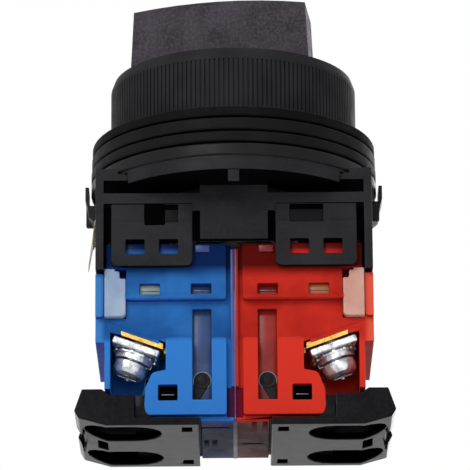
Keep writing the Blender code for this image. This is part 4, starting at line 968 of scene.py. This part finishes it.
@dataclass
class Adapter:
    """The adapter under the flange, with the lock lever and the paper label.

    Attributes:
        edge: the width of the adapter's rounded edges, in metres.
        lever_edge: the same for the lock lever.
        pockets: the black cards of painted shade over its windows and pockets, and their floors, by their
            lowest and highest corners.
        pocket_edge: the width of their rounded edges.
        ears: the tabs at the lock lever's ends, in the same way.
        ear_edge: the width of their rounded edges.
        seat_levels: the lower and upper level of the round seat under the flange.
        seat_radii: its inner and outer radius.
        seat_steps: how many sides it has.
        shade_wall: half the width, the depth and the height of the black inner sheets of painted shade.
        wall_edge: the width of their rounded edges.
        label_half: half the label's width.
        label_bend: the label's line, from its top down, as distance across and height.
        label_lift: how far its front edge is bent, as a share of its rear edge.
        label_cuts: how many faces it has from front to rear.
        paper: the thickness of its paper.
    """

    edge: float = 0.14 * MM
    lever_edge: float = 0.12 * MM
    pockets: tuple[tuple[str, Point, Point, Plastic], ...] = (
        # Thin black cards on the ears' faces: painted shade inside their windows and pockets
        ("window_shade_left", (-14.25, -14.34, 32.5), (-10.95, -14.28, 36.08), DEEP_BLACK),
        ("window_notch_left", (-11.85, -14.34, 31.95), (-10.95, -14.28, 32.6), DEEP_BLACK),
        ("pocket_shade_left", (-10.93, -14.34, 35.1), (-8.95, -14.28, 36.0), DEEP_BLACK),
        ("pocket_floor_left", (-10.93, -14.33, 33.1), (-8.95, -14.28, 35.15), POCKET_BLACK),
        ("pocket_shade_right", (8.95, -14.34, 35.05), (14.1, -14.28, 35.98), DEEP_BLACK),
        ("pocket_floor_right", (8.95, -14.33, 33.1), (14.1, -14.28, 35.1), POCKET_BLACK),
        ("ear_back_outer_front", (-19.3, -14.28, 34.5), (-14.35, -14.05, 36.06), ADAPTER_BLACK),
        ("ear_back_inner_front", (-8.85, -14.28, 34.5), (-6.75, -14.05, 36.06), ADAPTER_BLACK),
        ("ear_back_outer_rear", (14.35, 14.05, 34.5), (19.3, 14.28, 36.06), ADAPTER_BLACK),
        ("ear_back_inner_rear", (6.75, 14.05, 34.5), (8.85, 14.28, 36.06), ADAPTER_BLACK),
    )
    pocket_edge: float = 0.01
    ears: tuple[tuple[str, Point, Point], ...] = (
        ("lock_ear_left", (-24.1, 1.45, 37.2), (-22.45, 2.45, 41.0)),
        ("lock_ear_right", (22.45, -2.45, 36.8), (23.6, -1.45, 40.2)),
    )
    ear_edge: float = 0.3
    seat_levels: Span = (41.08, 41.41)
    seat_radii: Span = (14.0, 22.9)
    seat_steps: int = 128
    shade_wall: tuple[float, Span, Span] = (20.6, (12.9, 13.3), (30.3, 35.9))
    wall_edge: float = 0.1
    label_half: float = 6.5
    label_bend: tuple[Span, ...] = (
        (-22.2, 36.2), (-22.45, 35.9), (-22.9, 35.3), (-23.3, 34.6), (-23.6, 33.6), (-23.8, 32.4),
        (-23.85, 31.2),
    )
    label_lift: float = 0.3
    label_cuts: int = 6
    paper: float = 0.14

    def build(self) -> None:
        """Builds the adapter's own pieces, the lock lever and the label."""
        install(from_node("adapter_body", "adapter", self.edge), "housing", ADAPTER_BLACK)
        lever = from_node("lock_lever", "lock_slide", self.lever_edge)
        install(lever, "lock_lever", SATIN_BLACK)
        self.label()
        self.lip_seat()
        for name, low, high, finish in self.pockets:
            install(block(name, low, high, self.pocket_edge), "housing", finish)
        for name, low, high in self.ears:
            install(block(name, low, high, self.ear_edge), "lock_lever", SATIN_BLACK)
        for face in Face:
            self.shade_screen(face)

    def lip_seat(self) -> None:
        """Models the round seat between the adapter's lip and the operator's flange."""
        low, high = (level * MM for level in self.seat_levels)
        bore, rim = (radius * MM for radius in self.seat_radii)
        seat = fresh(
            "lip_seat", bpy.ops.mesh.primitive_circle_add, vertices=self.seat_steps, radius=bore,
            fill_type="NOTHING", location=(0.0, 0.0, low),
        )
        with editing():
            pull_ring(rim / bore, 0.0, low)
            pull_ring(1.0, high - low, high)
            pull_ring(bore / rim, 0.0, high)
            pull_ring(1.0, low - high, low)
        recalculate(seat)
        smooth(seat)
        install(seat, "housing", SATIN_BLACK)

    def label(self) -> None:
        """Models the paper label, stuck on at its top, and lifted off more at its rear than at its front."""
        last, top = len(self.label_bend) - 1, self.label_bend[0][0]
        label = fresh(
            "paper_label", bpy.ops.mesh.primitive_grid_add, x_subdivisions=last,
            y_subdivisions=self.label_cuts, size=2.0,
        )
        for vertex in label.data.vertices:
            across, height = self.label_bend[round((vertex.co.x + 1) / 2 * last)]
            lift = self.label_lift + (1 - self.label_lift) * (vertex.co.y + 1) / 2
            vertex.co = ((top + (across - top) * lift) * MM, vertex.co.y * self.label_half * MM, height * MM)
        paper = label.modifiers.new("paper thickness", "SOLIDIFY")
        paper.thickness = self.paper * MM
        paper.offset = 0.0
        only(label)
        bpy.ops.object.modifier_apply(modifier=paper.name)
        recalculate(label)
        smooth(label, math.radians(60))
        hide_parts("side_label")
        install(label, "housing", PAPER)

    def shade_screen(self, face: Face) -> None:
        """Closes the view through the adapter's openings with a black inner sheet of painted shade.

        Args:
            face: the side that the sheet is on.
        """
        half, depth, height = self.shade_wall
        y, name = mirrored(depth, face.toward), f"inner_screen_{face.value}"
        piece = block(name, (-half, y[0], height[0]), (half, y[1], height[1]), self.wall_edge)
        install(piece, "housing", DEEP_BLACK)


@dataclass(frozen=True)
class FacePiece:
    """A small piece on a block's face, in millimetres.

    Attributes:
        name: its name.
        across: where it begins and ends, outwards from the switch's middle.
        depth: where it begins and ends, towards the viewer of that face.
        height: its lowest and highest level.
        part: what it is made of.
        rounding: the width of its rounded edges.
        moves: whether it moves with the plunger.
    """

    name: str
    across: Span
    depth: Span
    height: Span
    part: Part
    rounding: float = 0.05
    moves: bool = False


FACE_PIECES: tuple[FacePiece, ...] = (
    FacePiece("window_strip", (3.45, 6.95), (10.4, 10.7), (4.0, 20.6), Part.STRIP, moves=True),
    FacePiece("slot_floor", (3.68, 6.87), (11.3, 11.6), (21.53, 23.17), Part.STRIP),
    FacePiece("slot_leaf", (3.95, 6.6), (11.62, 11.8), (22.3, 22.48), Part.METAL),
    FacePiece("test_floor", (11.83, 15.02), (12.0, 12.3), (21.53, 23.17), Part.LEAF),
    FacePiece("test_leaf", (12.0, 14.85), (12.32, 12.45), (22.15, 22.27), Part.METAL),
    FacePiece("catch_floor", (9.08, 12.07), (11.8, 12.1), (4.13, 6.62), Part.DARK),
    FacePiece("catch_leaf", (9.6, 11.6), (12.12, 12.3), (5.15, 5.3), Part.METAL),
    FacePiece("middle_key", (0.02, 1.27), (12.02, 12.2), (1.6, 6.3), Part.KEY),
    FacePiece("inner_rail", (0.02, 0.6), (12.02, 12.9), (6.35, 29.0), Part.RAIL, 0.12),
    FacePiece("top_tab", (3.9, 6.2), (13.2, 13.5), (28.3, 29.5), Part.RAIL, 0.12),
    FacePiece("ridge", (1.45, 17.3), (13.2, 13.32), (20.75, 21.4), Part.SHELL),
    FacePiece("guard_web", (13.2, 15.75), (12.35, 13.1), (1.25, 4.9), Part.GUARD, 0.1),
    FacePiece("guard_cheek", (14.3, 18.3), (8.6, 12.2), (2.5, 2.9), Part.SHELL, 0.1),
)


@dataclass
class BlockFaces:
    """The small pieces on and behind both faces of one contact block.

    Attributes:
        colour: the block's name.
        side: the sign of its direction along X.
        finishes: what each kind of part is made of.
        slot: the record's slot of its coloured parts; not used.
        pieces: the pieces of one face.
        guard_shade_cards: the name, the width and the height of the black cards of painted shade on the
            finger guard's floors.
        guard_half: half their depth.
        edge: the width of their rounded edges.
        seat: a terminal's middle, outwards, in depth and in height.
        tilt: how far the terminals lean outwards.
        ledge: the ledge over a terminal strip, outwards and as height over the strip's middle line.
        ledge_depth: where it begins and ends, towards the viewer.
        ledge_edge: the width of its rounded edges.
        rings: the name, the radius and the level on the screw's axis of a terminal's lock rings.
        ring_height: how thick a lock ring is.
        ring_steps: how many sides it has.
        tooth: how far its teeth stand out.
        ring_edge: the width of its rounded edges.
        pointer: the middle of the pointer's head, outwards and in height.
        head_steps: how many sides it has.
        grooves: the width and the rise of each ring of its face, from the rim inwards.
    """

    colour: str
    side: int
    finishes: dict[Part, Plastic | Metal]
    slot: Slot
    pieces: tuple[FacePiece, ...] = FACE_PIECES
    guard_shade_cards: tuple[tuple[str, Span, Span], ...] = (
        ("floor", (14.27, 23.6), (3.0, 3.4)), ("sole", (6.2, 15.8), (1.22, 1.44)),
    )
    guard_half: float = 12.4
    edge: float = 0.05
    seat: Point = (15.15, 8.2, 14.6)
    tilt: float = math.radians(20)
    ledge: tuple[Span, ...] = (
        (11.95, 0.16), (18.05, 0.16), (18.05, -0.45), (20.05, -0.7), (20.05, 0.85), (11.95, 0.85),
    )
    ledge_depth: Span = (11.3, 12.04)
    ledge_edge: float = 0.06
    rings: tuple[tuple[str, float, float], ...] = (("upper", 3.5, 1.78), ("lower", 3.3, 2.3))
    ring_height: float = 0.42
    ring_steps: int = 36
    tooth: float = 0.28
    ring_edge: float = 0.08
    pointer: Span = (5.175, 7.9)
    head_steps: int = 48
    grooves: tuple[Span, ...] = ((0.12, 0.0), (0.3, -0.05), (0.12, 0.05))

    def build(self) -> None:
        """Builds the pieces of both faces, the black cards of painted shade on the guard's floors, and the
        pointers, ledges and lock rings.
        """
        for face in Face:
            for piece in self.pieces:
                self.place(piece, face)
        # Black cards of painted shade on the finger guard's floors
        for word, across, (low, high) in self.guard_shade_cards:
            x, name = mirrored(across, self.side), f"{self.colour}_guard_{word}"
            made = block(name, (x[0], -self.guard_half, low), (x[1], self.guard_half, high), self.edge)
            install(made, "housing", DEEP_BLACK)
        for face in Face:
            self.boss(face)
            self.ceiling(face)
            self.toothed_rings(face)

    def ceiling(self, face: Face) -> None:
        """Models the ledge that covers a terminal strip's upper edge and its outer end.

        Args:
            face: the face that it closes.
        """
        slope = math.tan(self.tilt)
        corners = [(u, self.seat[2] + (u - self.seat[0]) * slope + rise) for u, rise in self.ledge]
        piece = fresh(
            f"{self.colour}_strip_ledge_{face.value}", bpy.ops.mesh.primitive_circle_add,
            vertices=len(corners), radius=MM, fill_type="NGON",
        )
        back, front = (face.toward * value * MM for value in self.ledge_depth)
        for vertex, (u, z) in zip(piece.data.vertices, corners):
            vertex.co = (self.side * u * MM, back, z * MM)
        with editing():
            bpy.ops.mesh.extrude_region_move(TRANSFORM_OT_translate={"value": (0.0, front - back, 0.0)})
        recalculate(piece)
        soften(piece, self.ledge_edge * MM)
        smooth(piece)
        install(piece, "housing", self.finishes[Part.SHELL])

    def toothed_rings(self, face: Face) -> None:
        """Models the two toothed lock rings round a terminal's spring washer.

        Args:
            face: the face that the terminal is on.
        """
        centre = Vector((self.side * self.seat[0], face.toward * self.seat[1], self.seat[2])) * MM
        turn = Matrix.Rotation(self.side * (math.pi - self.tilt), 4, "Y")
        for word, radius, level in self.rings:
            ring = fresh(
                f"{self.colour}_{word}_tooth_ring_{face.value}", bpy.ops.mesh.primitive_cylinder_add,
                vertices=self.ring_steps, radius=radius * MM, depth=self.ring_height * MM,
            )
            with editing("FACE"):
                pick(ring, self.is_tooth)
                bpy.ops.mesh.extrude_faces_move(TRANSFORM_OT_shrink_fatten={"value": self.tooth * MM})
                bpy.ops.mesh.select_all(action="SELECT")
            ring.matrix_world = Matrix.Translation(centre) @ turn @ Matrix.Translation((0.0, 0.0, level * MM))
            settle(ring, ring.name)
            recalculate(ring)
            soften(ring, self.ring_edge * MM)
            smooth(ring)
            install(ring, "housing", ZINC)

    def is_tooth(self, side: bmesh.types.BMFace) -> bool:
        """Says whether a face of a lock ring carries a tooth, as every third of its side faces does.

        Args:
            side: the face.

        Returns:
            Whether it is drawn out.
        """
        middle = side.calc_center_median()
        step = 360 / self.ring_steps
        number = int(math.degrees(math.atan2(middle.y, middle.x)) % 360 / step)
        return abs(side.normal.z) < 0.5 and number % 3 == 0

    def boss(self, face: Face) -> None:
        """Models the pointer's round head with its groove, and the pale rim behind it.

        Args:
            face: the face that it looks out of.
        """
        discs = (
            ("rim", 1.48, (10.62, 10.76), self.finishes[Part.RIM]),
            ("head", 1.28, (10.7, 11.05), SATIN_BLACK),
        )
        across, height = self.pointer
        for word, radius, (back, front), finish in discs:
            middle = (back + front) / 2 * MM
            piece = fresh(
                f"{self.colour}_pointer_{word}_{face.value}", bpy.ops.mesh.primitive_cylinder_add,
                vertices=self.head_steps, radius=radius * MM, depth=(front - back) * MM,
                rotation=(math.pi / 2, 0.0, 0.0),
                location=(self.side * across * MM, face.toward * middle, height * MM),
            )
            with editing("FACE"):
                pick(piece, lambda side: side.normal.y * face.toward > 0.9)
                for inset, rise in self.grooves:
                    bpy.ops.mesh.inset(thickness=inset * MM, depth=rise * MM)
            smooth(piece)
            install(piece, f"{self.colour}_plunger", finish)

    def place(self, piece: FacePiece, face: Face) -> None:
        """Models one piece on one face.

        Args:
            piece: the piece.
            face: the face.
        """
        low, high = zip(mirrored(piece.across, self.side), mirrored(piece.depth, face.toward), piece.height)
        made = block(f"{self.colour}_{piece.name}_{face.value}", low, high, piece.rounding)
        body = f"{self.colour}_plunger" if piece.moves else "housing"
        install(made, body, self.finishes[piece.part])


@dataclass
class ContactBlock:
    """One contact block: its housing, clips, contacts, terminals and finger-guard cover.

    Attributes:
        colour: the block's name.
        shell: the finish of its housing.
        clip: the finish of its clips.
        slot: the record's slot of its housing; not used.
        edge: the width of the housing's rounded edges.
        clip_edge: the same for its clips.
        moving_edge: the same for what moves with its plunger.
        cover_edge: the same for its cover.
        middle_gap: corners nearer than this to the switch's middle are brought up to it.
        middle_rest: how far from the middle they stay.
        plates_below: edges that begin below this level are those of the face plates.
        plate_rise: how far those plates stand proud.
        plate_play: how much that may differ.
        plate_corner: the width of their rounded corners.
        seat_play: how much wider and taller a clip's seat is than the clip.
    """

    colour: str
    shell: Plastic
    clip: Plastic
    slot: Slot
    edge: float = 0.14 * MM
    clip_edge: float = 0.25 * MM
    moving_edge: float = 0.1 * MM
    cover_edge: float = 0.2 * MM
    middle_gap: float = 0.2 * MM
    middle_rest: float = 0.01 * MM
    plates_below: float = 21 * MM
    plate_rise: float = 1.2 * MM
    plate_play: float = 0.1 * MM
    plate_corner: float = 0.5 * MM
    seat_play: float = 0.5 * MM

    def build(self) -> None:
        """Builds the block's pieces."""
        name = self.colour
        shell = from_node(f"{name}_housing", f"{name}_shell", self.edge, shape=self.round_plates)
        self.close_middle(shell)
        install(shell, "housing", self.shell)
        for face in Face:
            end = face.value
            clip = from_node(
                f"{name}_clip_{end}", f"{name}_latch_{end}", self.clip_edge, shape=self.fill_seat
            )
            install(clip, "housing", self.clip)
            self.terminal(end)
        moving = (
            ("plunger", Slot.WHITE, PLUNGER_WHITE),
            ("carrier", Slot.BLACK, SATIN_BLACK),
            ("bridge", Slot.SILVER, SPRING_STEEL),
        )
        for part, slot, finish in moving:
            piece = from_node(f"{name}_{part}", f"{name}_moving_{part}", self.moving_edge)
            install(piece, f"{name}_plunger", finish)
        cover = from_node(f"{name}_cover", f"{name}_terminal_cover", self.cover_edge)
        install(cover, "housing", COVER_BLACK)

    def round_plates(self, shell: bpy.types.Object) -> None:
        """Rounds the corners of the plates that stand proud of the shell's faces.

        Args:
            shell: the merged mesh of the housing.
        """
        only(shell)
        bpy.ops.object.mode_set(mode="EDIT")
        bpy.ops.mesh.select_mode(type="EDGE")
        bpy.ops.mesh.select_all(action="DESELECT")
        mesh = bmesh.from_edit_mesh(shell.data)
        for edge in mesh.edges:
            span = edge.verts[1].co - edge.verts[0].co
            straight = abs(abs(span.y) - span.length) < MERGE
            low = edge.verts[0].co.z < self.plates_below
            if straight and low and abs(span.length - self.plate_rise) < self.plate_play:
                edge.select_set(True)
        bmesh.update_edit_mesh(shell.data)
        bpy.ops.mesh.bevel(offset=self.plate_corner, segments=4, affect="EDGES", clamp_overlap=True)
        bpy.ops.mesh.select_mode(type="FACE")
        bpy.ops.object.mode_set(mode="OBJECT")

    def fill_seat(self, clip: bpy.types.Object) -> None:
        """Widens a clip until it all but fills its seat.

        Args:
            clip: the merged mesh of the clip.
        """
        corners = [vertex.co for vertex in clip.data.vertices]
        low = Vector([min(c[axis] for c in corners) for axis in range(3)])
        high = Vector([max(c[axis] for c in corners) for axis in range(3)])
        middle = (low + high) / 2
        wider = (high.x - low.x + self.seat_play) / (high.x - low.x)
        taller = (high.z - low.z + self.seat_play) / (high.z - low.z)
        with editing():
            bpy.ops.transform.resize(value=(wider, 1.0, taller), center_override=middle)

    def close_middle(self, shell: bpy.types.Object) -> None:
        """Brings the shell's inner side up to the other block's, so that no light comes between.

        Args:
            shell: the housing.
        """
        for vertex in shell.data.vertices:
            if abs(vertex.co.x) < self.middle_gap:
                vertex.co.x = math.copysign(self.middle_rest, vertex.co.x)

    def terminal(self, end: str) -> None:
        """Builds the terminal at one end of the block.

        Args:
            end: front or rear.
        """
        name = self.colour
        stack = (
            ("terminal", "strip", Slot.BRASS, BRASS, 0.08 * MM),
            ("square_washer", "clamp", Slot.ZINC, ZINC, 0.12 * MM),
            ("spring_washer", "lock_washer", Slot.ZINC, ZINC, 0.05 * MM),
            ("screw", "screw", Slot.ZINC, ZINC, 0.1 * MM),
        )
        for part, word, slot, finish, edge in stack:
            node = f"{name}_{part}_{end}"
            piece = from_node(node, f"{name}_{word}_piece_{end}", edge)
            install(piece, "housing", finish)

    def spring(self) -> None:
        """Gives the return spring, which the frame itself squeezes, its steel."""
        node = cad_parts[f"{self.colour}_return_spring"]
        dress(node, FINISHES.of(SPRING_STEEL))


@dataclass
class Soles:
    """The seam between the blocks, the moulded marks under them and the patches of painted light behind the
    windows.

    Attributes:
        seam: the seam's lowest and highest corner, in millimetres.
        mark_height: the marks' lowest and highest level.
        patches: where a patch begins and ends, outwards.
        patch_depth: the same towards the viewer.
        patch_height: the patches' lowest and highest level.
        edge: the width of all their rounded edges.
        marks: each mark's name, width, depth, finish and slot.
    """

    seam: tuple[Point, Point] = ((-0.32, -12.0, 0.9), (0.32, 12.0, 1.4))
    mark_height: Span = (0.86, 1.0)
    patches: tuple[Span, ...] = ((8.8, 12.0), (14.1, 17.3))
    patch_depth: Span = (13.22, 13.42)
    patch_height: Span = (27.3, 29.75)
    edge: float = 0.03
    marks: tuple[tuple[str, Span, Span, Plastic, Slot], ...] = (
        ("blue_sole_mark_inner", (-3.7, -2.9), (0.3, 6.2), VIOLET_KEY, Slot.BLUE),
        ("blue_sole_mark_outer", (-5.0, -4.2), (0.3, 6.2), VIOLET_KEY, Slot.BLUE),
        ("blue_sole_line", (-5.3, -0.9), (-8.0, -7.8), VIOLET_KEY, Slot.BLUE),
        ("red_sole_mark_inner", (2.6, 3.4), (-11.2, -5.2), CRIMSON_KEY, Slot.RED),
        ("red_sole_mark_outer", (4.3, 5.1), (-11.2, -5.2), CRIMSON_KEY, Slot.RED),
        ("red_sole_line", (1.2, 4.6), (2.5, 2.7), CRIMSON_KEY, Slot.RED),
    )

    def build(self) -> None:
        """Builds the seam, the marks and the patches."""
        install(block("blocks_seam", *self.seam, self.edge), "housing", SEAM_VIOLET)
        for name, across, depth, finish, slot in self.marks:
            self.piece(name, across, depth, self.mark_height, slot, finish)
        sides = (("blue", -1, PATCH_BLUE, Slot.BLUE), ("red", 1, PATCH_RED, Slot.RED))
        for face in Face:
            y = mirrored(self.patch_depth, face.toward)
            for colour, side, finish, slot in sides:
                for number, across in enumerate(self.patches):
                    name = f"{colour}_window_patch_{number}_{face.value}"
                    self.piece(name, mirrored(across, side), y, self.patch_height, slot, finish)

    def piece(
        self, name: str, x: Sequence[float], y: Sequence[float], z: Span, slot: Slot, finish: Plastic
    ) -> None:
        """Models one small piece on the housing.

        Args:
            name: its name.
            x: where it begins and ends across, in millimetres.
            y: the same in depth.
            z: the same in height.
            slot: the record's slot of its finish; not used.
            finish: the finish.
        """
        low, high = zip(x, y, z)
        install(block(name, low, high, self.edge), "housing", finish)


@dataclass
class Studio:
    """The camera, the lamps, the pale floor and the white surroundings.

    Attributes:
        camera_place: the camera's place in metres.
        tilt: how far it is tipped up from looking straight down, in degrees.
        roll: how far it is turned round its own line of sight.
        lens: its focal length in millimetres.
        middle: what the lamps face.
        lamps: each lamp's name, place, side and power in watts.
        floor_side: the floor's side.
        floor_gap: how far it lies below the switch.
        floor_tones: the floor's two colours.
        floor_cloud: the size of their clouds.
        surround: how bright the surroundings are as light.
        fade: how far out the floor starts to turn white, and where it is white.
    """

    camera_place: Point = (0.16 * MM, -625.7 * MM, -158.4 * MM)
    tilt: float = 107.2
    roll: float = -0.4
    lens: float = 308.7
    middle: Point = (0.0, 0.0, 0.035)
    lamps: tuple[tuple[str, Point, float, float], ...] = (
        ("key", (-0.3, -0.7, 0.4), 0.35, 3.0),
        ("fill", (0.08, -0.75, -0.1), 0.45, 1.4),
        ("top", (0.05, 0.1, 0.8), 0.5, 2.0),
        ("back", (0.2, 0.7, 0.3), 0.5, 1.2),
    )
    floor_side: float = 4.0
    floor_gap: float = 0.05 * MM
    floor_tones: tuple[str, str] = ("f4f4f4", "f8f8f8")
    floor_cloud: float = 0.15
    surround: float = 0.55
    fade: Span = (0.12, 0.45)

    def camera(self) -> None:
        """Places the camera a little below the switch, looking up at it."""
        data = bpy.data.cameras.new("camera")
        data.lens = self.lens
        data.clip_start, data.clip_end = 0.01, 20.0
        camera = bpy.data.objects.new("camera", data)
        bpy.context.scene.collection.objects.link(camera)
        turn = Matrix.Rotation(math.radians(self.tilt), 4, "X")
        turn @= Matrix.Rotation(math.radians(self.roll), 4, "Z")
        camera.matrix_world = Matrix.Translation(self.camera_place) @ turn
        bpy.context.scene.camera = camera

    def lamp(self, name: str, place: Point, size: float, power: float) -> None:
        """Adds a soft area lamp that faces the switch.

        Args:
            name: its name.
            place: its place in metres.
            size: its side in metres.
            power: its power in watts.
        """
        data = bpy.data.lights.new(name, "AREA")
        data.shape = "SQUARE"
        data.size = size
        data.energy = power
        lamp = bpy.data.objects.new(name, data)
        bpy.context.scene.collection.objects.link(lamp)
        lamp.location = place
        lamp.rotation_euler = (Vector(self.middle) - Vector(place)).to_track_quat("-Z", "Y").to_euler()

    def world(self) -> None:
        """Makes the surroundings white to the eye and to gloss, and softer as light."""
        world = bpy.data.worlds.new("white room")
        world.use_nodes = True
        tree = world.node_tree
        background = tree.nodes["Background"]
        background.inputs["Color"].default_value = (1, 1, 1, 1)
        path = tree.nodes.new("ShaderNodeLightPath")
        seen, clear = (tree.nodes.new("ShaderNodeMath") for _ in range(2))
        seen.operation = clear.operation = "MAXIMUM"
        strength = tree.nodes.new("ShaderNodeMapRange")
        strength.inputs["To Min"].default_value = self.surround
        strength.inputs["To Max"].default_value = 1.0
        tree.links.new(path.outputs["Is Camera Ray"], seen.inputs[0])
        tree.links.new(path.outputs["Is Glossy Ray"], seen.inputs[1])
        tree.links.new(seen.outputs[0], clear.inputs[0])
        tree.links.new(path.outputs["Is Transmission Ray"], clear.inputs[1])
        tree.links.new(clear.outputs[0], strength.inputs["Value"])
        tree.links.new(strength.outputs["Result"], background.inputs["Strength"])
        bpy.context.scene.world = world

    def floor(self) -> None:
        """Lays a pale floor that keeps the switch's shadow from above and isn't there from below."""
        floor = fresh(
            "pale_floor", bpy.ops.mesh.primitive_plane_add, size=self.floor_side,
            location=(0, 0, -self.floor_gap),
        )
        sheet = Sheet("pale floor paper")
        sheet.set(Roughness=0.9, Specular_IOR_Level=0.1)
        tone = sheet.spread(sheet.noise(self.floor_cloud, 2.0), WIDE, (0, 1))
        sheet.colour(sheet.mix(tone, "Result", *(linear(code) for code in self.floor_tones)))
        path = sheet.add("ShaderNodeLightPath")
        either = sheet.add("ShaderNodeMath", operation="MAXIMUM")
        sheet.join(path, "Is Glossy Ray", either, 0)
        sheet.join(path, "Is Transmission Ray", either, 1)
        away = sheet.add("ShaderNodeVectorMath", operation="LENGTH")
        sheet.join(sheet.place, "Object", away, "Vector")
        plain = sheet.add("ShaderNodeMath", operation="MAXIMUM")
        sheet.join(either, 0, plain, 0)
        sheet.join(sheet.ranged(away, "Value", self.fade), "Result", plain, 1)
        lit = sheet.add("ShaderNodeMixShader")
        sheet.join(plain, 0, lit, 0)
        sheet.join(sheet.shader, "BSDF", lit, 1)
        sheet.join(sheet.add("ShaderNodeEmission"), "Emission", lit, 2)
        shown = sheet.add("ShaderNodeMixShader")
        sheet.join(sheet.add("ShaderNodeNewGeometry"), "Backfacing", shown, 0)
        sheet.join(lit, "Shader", shown, 1)
        sheet.join(sheet.add("ShaderNodeBsdfTransparent"), "BSDF", shown, 2)
        sheet.join(shown, "Shader", sheet.output, "Surface")
        dress(floor, sheet.material)

    def build(self) -> None:
        """Sets the studio up."""
        self.camera()
        for name, place, size, power in self.lamps:
            self.lamp(name, place, size, power)
        self.world()
        self.floor()
        bpy.context.scene.view_settings.view_transform = "Standard"


def main() -> None:
    """Builds the switch and its studio."""
    logging.basicConfig(level=logging.INFO, format="%(name)s: %(message)s")
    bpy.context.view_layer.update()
    Handle().build()
    PanelStack().build()
    Adapter().build()
    for unit in (
        ContactBlock("blue", BLOCK_BLUE, MILKY_BLUE, Slot.BLUE),
        ContactBlock("red", BLOCK_RED, MILKY_RED, Slot.RED),
    ):
        unit.build()
        unit.spring()
    shared = {Part.DARK: DEEP_BLACK, Part.METAL: DULL_STEEL, Part.GUARD: COVER_BLACK, Part.RIM: PALE_RIM}
    blue = {
        Part.STRIP: TINTED_BLUE, Part.LEAF: LEAF_BLUE, Part.KEY: VIOLET_KEY, Part.RAIL: BLUE_RAIL,
        Part.SHELL: BLOCK_BLUE,
    }
    red = {
        Part.STRIP: TINTED_RED, Part.LEAF: LEAF_RED, Part.KEY: CRIMSON_KEY, Part.RAIL: RED_RAIL,
        Part.SHELL: BLOCK_RED,
    }
    BlockFaces("blue", -1, shared | blue, Slot.BLUE).build()
    BlockFaces("red", 1, shared | red, Slot.RED).build()
    Soles().build()
    Studio().build()


if __name__ == "__main__":
    main()
